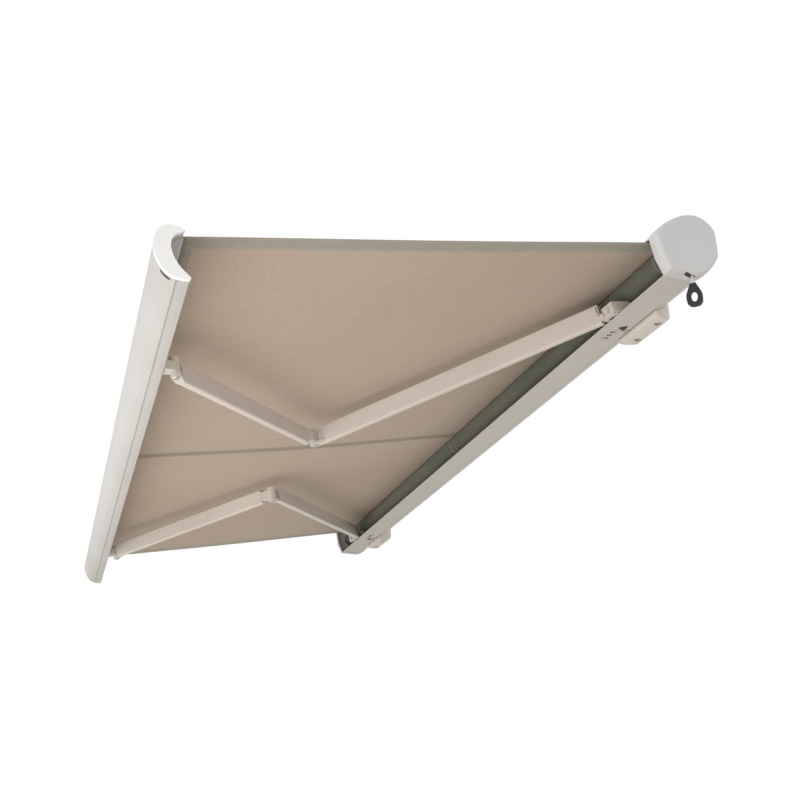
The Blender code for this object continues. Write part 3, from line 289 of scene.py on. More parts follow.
def noise(tree, vector, scale, detail=2.0, roughness=0.5):
    """Soft noise over a place, from 0 to 1."""
    made = node(tree, "ShaderNodeTexNoise")
    tree.links.new(vector, made.inputs["Vector"])
    feed(tree, made.inputs["Scale"], scale)
    made.inputs["Detail"].default_value = detail
    made.inputs["Roughness"].default_value = roughness
    return made.outputs["Fac"]


def stretched(tree, vector, scale):
    """A place multiplied by its own scale in each direction."""
    made = node(tree, "ShaderNodeVectorMath", operation="MULTIPLY")
    tree.links.new(vector, made.inputs[0])
    made.inputs[1].default_value = scale
    return made.outputs[0]


def scaled(tree, vector, scale):
    """A place or a colour multiplied by one number."""
    made = node(tree, "ShaderNodeVectorMath", operation="SCALE")
    tree.links.new(vector, made.inputs[0])
    tree.links.new(scale, made.inputs["Scale"])
    return made.outputs[0]


def parted(tree, vector):
    """The three parts of a place, as outputs named X, Y and Z."""
    made = node(tree, "ShaderNodeSeparateXYZ")
    tree.links.new(vector, made.inputs[0])
    return made.outputs


def effect(name, inputs, outputs):
    """A named node group with its input and output sockets, and its two end nodes."""
    tree = bpy.data.node_groups.new(name, "ShaderNodeTree")
    for label, kind, value in inputs:
        socket = tree.interface.new_socket(label, in_out="INPUT", socket_type=kind)
        if value is not None:
            socket.default_value = value
    for label, kind in outputs:
        tree.interface.new_socket(label, in_out="OUTPUT", socket_type=kind)
    return tree, node(tree, "NodeGroupInput"), node(tree, "NodeGroupOutput")


FLOAT, VECTOR = "NodeSocketFloat", "NodeSocketVector"


# ---------------------------------------------------------------- shared effects

def make_coat_texture():
    """Fine orange peel of a baked powder coat: height, and a faint unevenness of tone."""
    tree, start, end = effect("coat_texture", [("Place", VECTOR, None), ("Grain", FLOAT, 650.0)],
                              [("Height", FLOAT), ("Tone", FLOAT)])
    place = start.outputs["Place"]
    tree.links.new(noise(tree, place, start.outputs["Grain"]), end.inputs["Height"])
    broad = noise(tree, place, 3.1, detail=3.0)
    tree.links.new(ramp(tree, broad, 0.3, 0.7), end.inputs["Tone"])
    return tree


def make_weathering():
    """Thin dust in soft clouds with run-down streaks, as a mask."""
    tree, start, end = effect("weathering", [("Place", VECTOR, None), ("Amount", FLOAT, 0.3)],
                              [("Dust", FLOAT)])
    place = start.outputs["Place"]
    clouds = noise(tree, place, 5.0, detail=4.0, roughness=0.6)
    run_down = stretched(tree, place, (38.0, 38.0, 4.0))
    streaks = noise(tree, run_down, 1.0, detail=3.0, roughness=0.55)
    both = arithmetic(tree, "MULTIPLY", ramp(tree, clouds, 0.38, 0.72),
                      ramp(tree, streaks, 0.35, 0.75))
    dust = arithmetic(tree, "MULTIPLY", both, start.outputs["Amount"], clamp=True)
    tree.links.new(dust, end.inputs["Dust"])
    return tree


def make_edge_rub():
    """Edges where handling has polished the coat: one where the surface turns sharply."""
    tree, start, end = effect("edge_rub", [("Place", VECTOR, None), ("Reach", FLOAT, 0.0012)],
                              [("Rub", FLOAT)])
    bevel = node(tree, "ShaderNodeBevel", samples=4)
    tree.links.new(start.outputs["Reach"], bevel.inputs["Radius"])
    flat = node(tree, "ShaderNodeNewGeometry")
    turn = node(tree, "ShaderNodeVectorMath", operation="DOT_PRODUCT")
    tree.links.new(bevel.outputs["Normal"], turn.inputs[0])
    tree.links.new(flat.outputs["Normal"], turn.inputs[1])
    edge = ramp(tree, turn.outputs["Value"], 0.995, 0.90)
    patches = noise(tree, start.outputs["Place"], 45.0, detail=3.0)
    rub = arithmetic(tree, "MULTIPLY", edge, ramp(tree, patches, 0.35, 0.65), clamp=True)
    tree.links.new(rub, end.inputs["Rub"])
    return tree


def make_plain_weave():
    """Plain weave of an acrylic canvas: warp and weft threads over and under each other."""
    tree, start, end = effect("plain_weave", [("Cloth place", VECTOR, None),
                                              ("Threads", FLOAT, THREADS_PER_METRE)],
                              [("Height", FLOAT), ("Tone", FLOAT)])
    cloth = start.outputs["Cloth place"]
    counted = parted(tree, scaled(tree, cloth, start.outputs["Threads"]))

    def thread_height(across):
        wave = arithmetic(tree, "SINE", arithmetic(tree, "MULTIPLY", across, math.pi))
        return arithmetic(tree, "ABSOLUTE", wave)

    warp, weft = thread_height(counted["X"]), thread_height(counted["Y"])
    column = arithmetic(tree, "FLOOR", counted["X"])
    row = arithmetic(tree, "FLOOR", counted["Y"])
    over = arithmetic(tree, "FLOORED_MODULO", arithmetic(tree, "ADD", column, row), 2.0)
    under = arithmetic(tree, "SUBTRACT", 1.0, over)
    height = arithmetic(tree, "ADD", arithmetic(tree, "MULTIPLY", warp, over),
                        arithmetic(tree, "MULTIPLY", weft, under))
    tree.links.new(height, end.inputs["Height"])
    slub = noise(tree, stretched(tree, cloth, (420.0, 18.0, 1.0)), 1.0)
    nub = noise(tree, stretched(tree, cloth, (18.0, 420.0, 1.0)), 1.0)
    yarn = ramp(tree, arithmetic(tree, "ADD", slub, nub), 0.7, 1.3)
    thread = ramp(tree, height, 0.0, 1.0, to_low=0.6)
    tree.links.new(arithmetic(tree, "MULTIPLY", yarn, thread), end.inputs["Tone"])
    return tree


def make_stitch_row():
    """One row of lockstitch at a place across the cloth: one on a stitch, nothing between."""
    tree, start, end = effect("stitch_row", [("Across", FLOAT, 0.0), ("Along", FLOAT, 0.0),
                                             ("Row", FLOAT, 0.0), ("Pitch", FLOAT, STITCH_PITCH)],
                              [("Stitch", FLOAT)])
    given = start.outputs
    off_row = arithmetic(tree, "SUBTRACT", given["Across"], given["Row"])
    line = ramp(tree, arithmetic(tree, "ABSOLUTE", off_row), 0.0004, 0.0008, 1.0, 0.0)
    turn = arithmetic(tree, "FRACT", arithmetic(tree, "DIVIDE", given["Along"], given["Pitch"]))
    off_middle = arithmetic(tree, "SUBTRACT", turn, 0.5)
    dash = ramp(tree, arithmetic(tree, "ABSOLUTE", off_middle), 0.34, 0.42, 1.0, 0.0)
    tree.links.new(arithmetic(tree, "MULTIPLY", line, dash), end.inputs["Stitch"])
    return tree


def make_metal_grain():
    """Turning or drawing lines in bare metal: height and a change of roughness."""
    tree, start, end = effect("metal_grain", [("Place", VECTOR, None)],
                              [("Height", FLOAT), ("Tone", FLOAT)])
    place = start.outputs["Place"]
    lines = noise(tree, stretched(tree, place, (30.0, 900.0, 900.0)), 1.0)
    spots = noise(tree, place, 160.0, detail=3.0, roughness=0.6)
    tree.links.new(lines, end.inputs["Height"])
    tone = arithmetic(tree, "MULTIPLY", ramp(tree, lines, 0.3, 0.7), ramp(tree, spots, 0.3, 0.75))
    tree.links.new(tone, end.inputs["Tone"])
    return tree


COAT_TEXTURE = make_coat_texture()
WEATHERING = make_weathering()
EDGE_RUB = make_edge_rub()
PLAIN_WEAVE = make_plain_weave()
STITCH_ROW = make_stitch_row()
METAL_GRAIN = make_metal_grain()


def placed(tree, made_group, vector, **values):
    """The group as a node in a material, fed with a place and its own values."""
    made = node(tree, "ShaderNodeGroup", node_tree=made_group)
    tree.links.new(vector, made.inputs[0])
    for name, value in values.items():
        feed(tree, made.inputs[name], value)
    return made.outputs


# ---------------------------------------------------------------- materials

def toned(colour, share, lift=0.0):
    """The colour made darker or lighter by a share, and lifted by a little."""
    return tuple(min(1.0, share * part + lift) for part in colour[:3]) + (1.0,)


def blank(name, roughness, metallic=0.0, **constants):
    """A material with its Principled shader; constants are set on the shader's own sockets."""
    material = bpy.data.materials.new(name)
    material.use_nodes = True
    tree = material.node_tree
    shader = tree.nodes["Principled BSDF"]
    shader.inputs["Roughness"].default_value = roughness
    shader.inputs["Metallic"].default_value = metallic
    for label, value in constants.items():
        shader.inputs[label.replace("_", " ")].default_value = value
    return material, tree, shader


def own_place(tree):
    """The place on the piece, in its own axes."""
    return node(tree, "ShaderNodeTexCoord").outputs["Object"]


def raised(tree, shader, height, distance):
    """Bump from a height, as deep as the distance."""
    bump = node(tree, "ShaderNodeBump")
    bump.inputs["Distance"].default_value = distance
    bump.inputs["Strength"].default_value = 1.0
    tree.links.new(height, bump.inputs["Height"])
    tree.links.new(bump.outputs["Normal"], shader.inputs["Normal"])


def coated_metal(name, colour, dust=0.35, grain=650.0, peel=0.00005, rub=0.0012):
    """Powder-coated metal: orange peel, a little dust, and polished edges."""
    clean, dusty = 0.36, 0.50
    material, tree, shader = blank(name, clean)
    place = own_place(tree)
    skin = placed(tree, COAT_TEXTURE, place, Grain=grain)
    dirt = placed(tree, WEATHERING, place, Amount=dust)
    edges = placed(tree, EDGE_RUB, place, Reach=rub)
    tone = mixed(tree, skin["Tone"], toned(colour, 0.93), colour)
    tone = mixed(tree, dirt["Dust"], tone, DUST)
    tone = mixed(tree, edges["Rub"], tone, toned(colour, 1.10, 0.02))
    tree.links.new(tone, shader.inputs["Base Color"])
    duller = ramp(tree, dirt["Dust"], 0.0, 0.4, clean, dusty)
    tree.links.new(duller, shader.inputs["Roughness"])
    raised(tree, shader, skin["Height"], peel)
    return material


def bare_metal(name, colour):
    """Bare or plated metal with its turning lines."""
    smooth, scratched = 0.25, 0.42
    material, tree, shader = blank(name, smooth, metallic=1.0)
    grain = placed(tree, METAL_GRAIN, own_place(tree))
    tone = mixed(tree, grain["Tone"], colour, toned(colour, 0.72))
    tree.links.new(tone, shader.inputs["Base Color"])
    duller = ramp(tree, grain["Tone"], 0.0, 1.0, smooth, scratched)
    tree.links.new(duller, shader.inputs["Roughness"])
    raised(tree, shader, grain["Height"], 0.00004)
    return material


def moulded_plastic(name, colour, gloss=0.30):
    """Moulded plastic with a fine skin, a little dust and rubbed edges."""
    material, tree, shader = blank(name, 0.42, Specular_IOR_Level=gloss)
    place = own_place(tree)
    skin = placed(tree, COAT_TEXTURE, place, Grain=900.0)
    edges = placed(tree, EDGE_RUB, place, Reach=0.0009)
    dirt = placed(tree, WEATHERING, place, Amount=0.3)
    tone = mixed(tree, skin["Tone"], colour, toned(colour, 1.3, 0.003))
    tone = mixed(tree, dirt["Dust"], tone, DUST)
    tone = mixed(tree, edges["Rub"], tone, toned(colour, 1.8, 0.01))
    tree.links.new(tone, shader.inputs["Base Color"])
    tree.links.new(ramp(tree, skin["Tone"], 0.0, 1.0, 0.38, 0.52), shader.inputs["Roughness"])
    raised(tree, shader, skin["Height"], 0.00006)
    return material


def crank_finish(name):
    """Dark moulded eye on a bright steel shank, parted by height along the shank."""
    material, tree, shader = blank(name, 0.40, Specular_IOR_Level=0.30)
    place = own_place(tree)
    skin = placed(tree, COAT_TEXTURE, place, Grain=900.0)
    grain = placed(tree, METAL_GRAIN, place)
    edges = placed(tree, EDGE_RUB, place, Reach=0.0009)
    shank = past(tree, parted(tree, place)["Z"], SHANK_FOOT, 0.0005)
    plastic = mixed(tree, skin["Tone"], EYE_DARK, EYE_PALE)
    plastic = mixed(tree, edges["Rub"], plastic, EYE_RUBBED)
    steel = mixed(tree, grain["Tone"], SHANK_BRIGHT, SHANK_DULL)
    tree.links.new(mixed(tree, shank, plastic, steel), shader.inputs["Base Color"])
    tree.links.new(ramp(tree, grain["Tone"], 0.0, 1.0, 0.36, 0.50), shader.inputs["Roughness"])
    raised(tree, shader, skin["Height"], 0.00005)
    return material


def canvas_cloth(name, plain, warm, hem_shade, seam_shade):
    """Woven canvas with hems, centre seam and stitches, read from its own map in metres. Its
    colours carry painted light and shade, the hems and seam taking darker painted shade colours.
    """
    material, tree, shader = blank(name, 0.88, Specular_IOR_Level=0.25,
                                   Sheen_Weight=0.12, Sheen_Roughness=0.5)
    cloth = node(tree, "ShaderNodeUVMap", uv_map="Cloth").outputs["UV"]
    weave = placed(tree, PLAIN_WEAVE, cloth, Threads=THREADS_PER_METRE)
    split = parted(tree, cloth)
    across, along = split["X"], split["Y"]
    side = arithmetic(tree, "ABSOLUTE", across)

    side_hem = past(tree, side, HEM_EDGE, 0.0015)
    front_hem = past(tree, along, FRONT_FOLD, 0.001)
    hem = arithmetic(tree, "MAXIMUM", side_hem, front_hem)
    seam = past(tree, side, SEAM_HALF, 0.0012, before=1.0, after=0.0)
    clouds = noise(tree, cloth, 1.7, detail=3.0, roughness=0.55)
    body = mixed(tree, ramp(tree, clouds, 0.35, 0.68), plain, warm)
    other_panel = past(tree, across, 0.0, 0.001, after=0.35)
    body = mixed(tree, other_panel, body, toned(plain, 0.94))
    # Hems and the seam take darker colours here: painted shade of the doubled cloth
    layered_shade = mixed(tree, hem, mixed(tree, seam, body, seam_shade), hem_shade)
    yarn = ramp(tree, weave["Tone"], 0.0, 1.0, to_low=0.86, to_high=1.06)
    threaded = scaled(tree, layered_shade, yarn)

    stitches = None
    for row in STITCH_PLACES:
        stitch = placed(tree, STITCH_ROW, side, Along=along, Row=row)["Stitch"]
        stitches = stitch if stitches is None else arithmetic(tree, "MAXIMUM", stitches, stitch)
    tree.links.new(mixed(tree, stitches, threaded, THREAD), shader.inputs["Base Color"])
    rough = ramp(tree, weave["Tone"], 0.0, 1.0, to_low=0.94, to_high=0.82)
    tree.links.new(rough, shader.inputs["Roughness"])
    proud_stitch = arithmetic(tree, "MULTIPLY", stitches, 2.5)
    height = arithmetic(tree, "ADD", weave["Height"], proud_stitch)
    raised(tree, shader, height, 0.00012)
    return material


# These coats are lit and shaded copies of one white coat: painted shade, and painted light on the
# bar caps
ARM_FINISH = coated_metal("arm_powder_coat", ARM_COAT_PAINTED_WARM_SHADE)
BAR_FINISH = coated_metal("bar_powder_coat", BAR_COAT_PAINTED_SHADE, dust=0.22)
CASSETTE_FINISH = coated_metal("cassette_powder_coat", CASSETTE_COAT_PAINTED_SHADE)
HOOD_FINISH = coated_metal("hood_powder_coat", BAR_COAT_PAINTED_SHADE, dust=0.3)
CAP_FINISH = coated_metal("cap_coat", CAP_COAT_PAINTED_SHADE, dust=0.16, grain=520.0, peel=0.00006)
BAR_CAP_FINISH = coated_metal("bar_cap_coat", BAR_CAP_COAT_PAINTED_LIGHT, dust=0.10, grain=520.0, peel=0.00006)
CRANK_FINISH = crank_finish("crank_eye_and_shank")
# Near-black plates: painted shade inside slots and openings, and dark joint lines
HOLE_SHADE_AND_JOINT_FINISH = moulded_plastic("dark_opening", HOLE_SHADE_AND_JOINT_DARK, gloss=0.06)
CASTING_FINISH = coated_metal("casting_coat", ARM_COAT_PAINTED_WARM_SHADE, dust=0.4, grain=380.0, peel=0.00012,
                              rub=0.0018)
ALUMINIUM_FINISH = bare_metal("mill_aluminium", MILL_ALUMINIUM)
STEEL_FINISH = bare_metal("zinc_plated_steel", ZINC_PLATE)
PLASTIC_FINISH = moulded_plastic("dark_moulded_plastic", DARK_PLASTIC)
# The sheet's colours hold painted light through the cloth, and painted shade on its hems and seam
CANVAS_FINISH = canvas_cloth("awning_canvas_cloth", CANVAS_PAINTED_BACKLIGHT, CANVAS_PAINTED_BACKLIGHT_WARM, CANVAS_HEM_PAINTED_SHADE,
                             CANVAS_SEAM_PAINTED_SHADE)
# The rolled canvas is given painted shade colours throughout
ROLL_FINISH = canvas_cloth("rolled_canvas_cloth", CANVAS_ROLLED_PAINTED_SHADE, CANVAS_ROLLED_PAINTED_DEEP_SHADE,
                           CANVAS_ROLLED_PAINTED_DEEP_SHADE, CANVAS_ROLLED_PAINTED_DEEP_SHADE)

# The solids by finish; a name stands for both hands
FINISHES = (
    (HOOD_FINISH, ("hood",)),
    (CASSETTE_FINISH, ("back_profile", "base_rail")),
    (BAR_FINISH, ("front_bar", "canopy_rail")),
    (CAP_FINISH, ("end_cap",)),
    (BAR_CAP_FINISH, ("bar_cap",)),
    (ARM_FINISH, ("rear_arm", "front_arm")),
    (CASTING_FINISH, ("wall_bracket", "shoulder_bracket", "shoulder_knuckle", "elbow_fork",
                      "elbow_knuckle", "front_knuckle", "bar_bracket")),
    (ALUMINIUM_FINISH, ("roller_tube",)),
    (STEEL_FINISH, ("drive_plug", "idler_plug", "worm_wheel", "bracket_bolt_1", "bracket_bolt_2",
                    "shoulder_pin", "shoulder_screw_1", "shoulder_screw_2", "elbow_pin",
                    "arm_spring", "front_pin")),
    (PLASTIC_FINISH, ("gearbox_housing", "idler_bearing")),
    (CRANK_FINISH, ("crank_eye",)),
    (ROLL_FINISH, ("fabric_roll",)),
    (CANVAS_FINISH, ("canopy",)),
)


def finish_cad_nodes():
    """Give every solid its finish, in each slot that it has."""
    finish_of = {name: finish for finish, names in FINISHES for name in names}
    for name, thing in frame["nodes"].items():
        finish = finish_of[name.replace("right_", "").replace("left_", "")]
        if not thing.material_slots:
            thing.data.materials.append(finish)
        for slot in thing.material_slots:
            slot.material = finish


# ---------------------------------------------------------------- canvas pieces

def surface(name, points, faces, material, cloth_map=None):
    """A mesh object, smooth where cloth_map gives each point's place on the flat cloth."""
    mesh = bpy.data.meshes.new(name)
    mesh.from_pydata(points, [], faces)
    mesh.validate()
    if cloth_map is not None:
        layer = mesh.uv_layers.new(name="Cloth")
        for loop in mesh.loops:
            layer.data[loop.index].uv = cloth_map[loop.vertex_index]
    for face in mesh.polygons:
        face.use_smooth = cloth_map is not None
    mesh.materials.append(material)
    thing = bpy.data.objects.new(name, mesh)
    bpy.context.scene.collection.objects.link(thing)
    return thing


def column_places():
    """Places across the canvas, close together where a hem or the seam starts."""
    marks = {0.0, SEAM_COLUMN, CANVAS_HALF}
    marks.update(CANVAS_HALF - inset for inset in HEM_COLUMNS)
    for edge in (HEM_EDGE, SEAM_HALF):
        marks.update((edge - FOLD_STEP, edge + FOLD_STEP))
    start, stop = SEAM_HALF + COLUMN_CLEARANCE, HEM_EDGE - COLUMN_CLEARANCE
    marks.update(start + (stop - start) * step / PANEL_COLUMNS
                 for step in range(PANEL_COLUMNS + 1))
    half = sorted(marks)
    return [-place for place in reversed(half) if place > 0.0] + half


def row_places():
    """Places along the canvas as shares of its length, close together at the front hem."""
    fold = FRONT_FOLD / CANVAS_OUT
    even = [step / CANVAS_ROWS for step in range(CANVAS_ROWS + 1)]
    kept = [share for share in even if abs(share - fold) > ROW_CLEARANCE]
    return sorted(kept + [fold - FOLD_STEP / CANVAS_OUT, fold + FOLD_STEP / CANVAS_OUT])


def layers_at(across, front_hem=False):
    """Cloth thickness there: hems and the centre seam are double."""
    side = abs(across)
    if front_hem or side > HEM_EDGE or side < SEAM_HALF:
        return CANVAS_DOUBLE
    return CANVAS_SINGLE


def slack(across, along):
    """How far the taut cloth hangs below its straight line: most in each panel's middle."""
    edge_share = (abs(across) / CANVAS_HALF) ** SAG_FLATNESS
    span = math.sin(math.pi * along) ** 2
    body = CANVAS_SAG * (1.0 - edge_share)
    edge = HEM_SAG * edge_share
    seam_hold = SEAM_HOLD * math.exp(-(across / SEAM_HOLD_REACH) ** 2)
    wave = math.sin(across * RIPPLE_ACROSS + RIPPLE_SWAY * math.sin(along * RIPPLE_ALONG))
    ripple = RIPPLE * wave * (1.0 - along) ** 2
    off_hem = (abs(across) - HEM_EDGE) / PUCKER_REACH
    pucker = PUCKER * math.sin(along * PUCKER_ALONG) * math.exp(-off_hem ** 2)
    return span * (body + edge - seam_hold + ripple + pucker)


def make_canvas():
    """The canvas that is let out, as one closed mesh with an upper and a lower layer."""
    start, length = CANVAS_START, CANVAS_OUT
    run = CANVAS_END - CANVAS_START
    down = run.normalized().cross(Vector((1.0, 0.0, 0.0))).normalized()
    if down.z > 0.0:
        down.negate()
    columns, rows = column_places(), row_places()
    count, last_row = len(columns), len(rows) - 1
    points, flat_places = [], []
    for layer in (0, 1):
        for along in rows:
            front_hem = along * length > FRONT_FOLD
            for across in columns:
                drop = slack(across, along) if 0.0 < along < 1.0 else 0.0
                drop += layer * layers_at(across, front_hem) - ABOVE_LINE
                spot = start + run * along + down * drop
                points.append((across, spot.y, spot.z))
                flat_places.append((across, along * length))

    faces = []
    lower = count * len(rows)
    for row in range(last_row):
        for column in range(count - 1):
            a = row * count + column
            b, c, d = a + 1, a + 1 + count, a + count
            faces.append((a, b, c, d))
            faces.append((a + lower, d + lower, c + lower, b + lower))
    rim = list(range(count))
    rim += [row * count + count - 1 for row in range(1, last_row + 1)]
    rim += [last_row * count + column for column in range(count - 2, -1, -1)]
    rim += [row * count for row in range(last_row - 1, 0, -1)]
    for first, second in zip(rim, rim[1:] + rim[:1]):
        faces.append((second, first, first + lower, second + lower))

    canvas = surface("awning_canvas", points, faces, CANVAS_FINISH, flat_places)
    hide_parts("canopy")
    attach(canvas, frame["nodes"]["canopy"]["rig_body"])
    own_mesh(canvas)


def make_rolled_canvas():
    """The canvas still on the roller: a spiral whose last turn leaves at the top."""
    low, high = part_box("fabric_roll")
    middle = (low + high) / 2
    leave = math.radians(90.0 - CANVAS_PITCH)
    columns = column_places()
    points, flat_places, faces, rings = [], [], [], []

    def add_ring(across, radius, winding=0.0):
        """One turn of points, whose end lies inside its start by the winding."""
        rings.append(len(points))
        for step in range(ROLL_SIDES):
            turn = 2.0 * math.pi * step / ROLL_SIDES
            reach = radius - winding * (step / ROLL_SIDES)
            points.append((across, middle.y - reach * math.cos(leave + turn),
                           middle.z + reach * math.sin(leave + turn)))
            flat_places.append((across, -turn * ROLL_RADIUS))

    for rise, inset in ROLL_EDGE:
        add_ring(columns[0] + inset, ROLL_CORE + rise)
    for across in columns:
        hem_rise = (layers_at(across) - CANVAS_SINGLE) * ROLL_HEM_SHARE
        add_ring(across, ROLL_RADIUS - ROLL_CLEARANCE + hem_rise, ROLL_STEP)
    for rise, inset in reversed(ROLL_EDGE):
        add_ring(columns[-1] - inset, ROLL_CORE + rise)
    for first, second in zip(rings, rings[1:] + rings[:1]):
        for step in range(ROLL_SIDES):
            following = (step + 1) % ROLL_SIDES
            faces.append((first + step, second + step, second + following, first + following))

    roll = surface("rolled_canvas", points, faces, ROLL_FINISH, flat_places)
    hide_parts("fabric_roll")
    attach(roll, frame["nodes"]["fabric_roll"]["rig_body"])


# ---------------------------------------------------------------- small fittings laid on the solids

def nearest_on(thing, spot):
    """The point of a solid's surface closest to a place, and the surface's direction there."""
    world = thing.matrix_world
    _, place, normal, _ = thing.closest_point_on_mesh(world.inverted() @ Vector(spot))
    return world @ place, (world.to_3x3() @ normal).normalized()


def surface_axes(thing, middle, toward):
    """The place on a solid nearest to the middle, with two directions along its surface."""
    spot, out = nearest_on(thing, middle)
    along = Vector(toward)
    along = (along - out * out.dot(along)).normalized()
    return spot, along, out.cross(along)


def laid_points(carrier, middle, toward, lines):
    """Points on a solid's surface, lifted off it: each line is flat places and a height."""
    thing = frame["nodes"][carrier]
    spot, along, across = surface_axes(thing, middle, toward)
    points = []
    for line, height in lines:
        for a, b in line:
            place, normal = nearest_on(thing, spot + along * a + across * b)
            points.append(place + normal * height)
    return points


def rounded_outline(length, width, corner):
    """Outline of a plate with round corners, round its own middle, in short edges."""
    points = []
    for number, (a, b) in enumerate(((1, 1), (-1, 1), (-1, -1), (1, -1))):
        for step in range(CORNER_STEPS + 1):
            turn = math.radians(90.0 * (number + step / CORNER_STEPS))
            points.append((a * (length / 2 - corner) + corner * math.cos(turn),
                           b * (width / 2 - corner) + corner * math.sin(turn)))
    line = []
    for first, second in zip(points, points[1:] + points[:1]):
        parts = max(1, math.ceil(math.dist(first, second) / LONGEST_EDGE))
        for part in range(parts):
            share = part / parts
            line.append((first[0] + (second[0] - first[0]) * share,
                         first[1] + (second[1] - first[1]) * share))
    return line


def ring_outline(radius):
    """A circle round its own middle."""
    turns = [2.0 * math.pi * step / RING_SIDES for step in range(RING_SIDES)]
    return [(radius * math.cos(turn), radius * math.sin(turn)) for turn in turns]


def fastened(thing, carrier):
    """The piece rides with the solid it sits on."""
    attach(thing, frame["nodes"][carrier]["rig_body"])


def dark_plate(name, carrier, middle, toward, outline, lift=DARK_LIFT):
    """A thin dark plate that follows a solid's surface and stands a little proud of it. On a slot
    or opening it is painted shade for the hole's dark inside; on a joint line it is the joint's
    dark colour.
    """
    count = len(outline)
    shares = [(ring + 1) / PLATE_RINGS for ring in range(PLATE_RINGS)]
    flat = [(0.0, 0.0)] + [(a * share, b * share) for share in shares for a, b in outline]
    points = laid_points(carrier, middle, toward, ((flat, LAID_GAP), (flat, lift)))
    top = len(flat)
    faces = []
    for step in range(count):
        a, b = 1 + step, 1 + (step + 1) % count
        faces += [(b, a, 0), (a + top, b + top, top)]
        for ring in range(PLATE_RINGS - 1):
            low, high = ring * count, (ring + 1) * count
            faces += [(a + low, b + low, b + high, a + high),
                      (b + low + top, a + low + top, a + high + top, b + high + top)]
        edge = (PLATE_RINGS - 1) * count
        faces.append((a + edge, b + edge, b + edge + top, a + edge + top))
    fastened(surface(name, points, faces, HOLE_SHADE_AND_JOINT_FINISH), carrier)


def coated_band(name, carrier, middle, toward, outline, inner, lift, finish):
    """A raised rim between two outlines of equal count, following a solid's surface."""
    lines = ((outline, LAID_GAP), (outline, lift), (inner, lift), (inner, LAID_GAP))
    points = laid_points(carrier, middle, toward, lines)
    count = len(outline)
    faces = []
    for band in range(4):
        low, high = band * count, (band + 1) % 4 * count
        for step in range(count):
            following = (step + 1) % count
            faces.append((low + step, low + following, high + following, high + step))
    fastened(surface(name, points, faces, finish), carrier)


def screw_head(name, carrier, middle, radius, height):
    """A round steel head with a hexagon socket."""
    spot, out = nearest_on(frame["nodes"][carrier], middle)
    side = out.orthogonal().normalized()
    other = out.cross(side)
    sides = SCREW_SIDES
    plain = [1.0] * sides
    turns = [360.0 / sides * k for k in range(sides)]
    hexagon = [1.0 / math.cos(math.radians(turn % 60.0 - 30.0)) for turn in turns]
    # Size, height and shape of each ring, from the seat over the head to the socket's floor
    rings = ((radius, LAID_GAP, plain), (radius, 0.65 * height, plain),
             (0.84 * radius, height, plain), (0.44 * radius, height, hexagon),
             (0.44 * radius, 0.3 * height, hexagon))
    points = []
    for size, level, shape in rings:
        for k in range(sides):
            turn = 2.0 * math.pi * k / sides
            reach = size * shape[k]
            points.append(spot + side * (reach * math.cos(turn))
                          + other * (reach * math.sin(turn)) + out * level)
    last = (len(rings) - 1) * sides
    faces = [tuple(reversed(range(sides))), tuple(range(last, last + sides))]
    for ring in range(len(rings) - 1):
        low, high = ring * sides, (ring + 1) * sides
        for k in range(sides):
            following = (k + 1) % sides
            faces.append((low + k, low + following, high + following, high + k))
    fastened(surface(name, points, faces, STEEL_FINISH), carrier)


def make_bar_fittings():
    """A latch slot beside each cap in the front bar's outer face, with a pressed rim; its dark
    inside is a flat plate of painted shade.
    """
    low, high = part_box("front_bar")
    inset, back, up = LATCH_PLACE
    rim, hole = rounded_outline(*LATCH_RIM), rounded_outline(*LATCH_HOLE)
    for hand, side in HANDS:
        middle = (side * (high.x - inset), low.y + back, low.z + up)
        coated_band(hand + "_slot_rim", "front_bar", middle, LATCH_WAY, rim, hole,
                    LATCH_RIM_LIFT, BAR_FINISH)
        dark_plate(hand + "_slot_dark", "front_bar", middle, LATCH_WAY, hole, LATCH_DARK_LIFT)


def make_rail_fittings():
    """Under each end of the rail: a pressed recess with three marks, an opening and a screw; the
    opening is a flat plate of painted shade.
    """
    rail_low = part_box("base_rail")[0]
    pin_low, pin_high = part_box("right_shoulder_pin")
    pin_out = (pin_low.x + pin_high.x) / 2

    def underside(side, place, step=0.0, back=0.0):
        return side * (pin_out - place[0]) + step, rail_low.y + place[1] + back, rail_low.z

    for hand, side in HANDS:
        coated_band(hand + "_recess_rim", "base_rail", underside(side, RECESS_PLACE), ALONG_RAIL,
                    rounded_outline(*RECESS_RIM), rounded_outline(*RECESS_FLOOR),
                    RECESS_LIFT, CASSETTE_FINISH)
        for number, step in enumerate(MARK_PLACES, start=1):
            spot = underside(side, RECESS_PLACE, step, MARK_BACK)
            dark_plate(f"{hand}_recess_mark_{number}", "base_rail", spot, MARK_WAY,
                       rounded_outline(*MARK_OUTLINE))
        dark_plate(hand + "_rail_opening", "base_rail", underside(side, OPENING_PLACE),
                   ALONG_RAIL, OPENING_OUTLINE)
        screw_head(hand + "_rail_screw", "base_rail", underside(side, SCREW_PLACE),
                   SCREW_RADIUS, SCREW_HEIGHT)


def make_shoulder_fittings():
    """The stepped joint line in the cover of each shoulder."""
    for hand, side in HANDS:
        for number, (place, way, length) in enumerate(STEP_LINE, start=1):
            dark_plate(f"{hand}_step_line_{number}", hand + "_shoulder_knuckle",
                       (side * place[0],) + place[1:], (side * way[0],) + way[1:],
                       rounded_outline(length, STEP_LINE_WIDTH, STEP_LINE_CORNER))


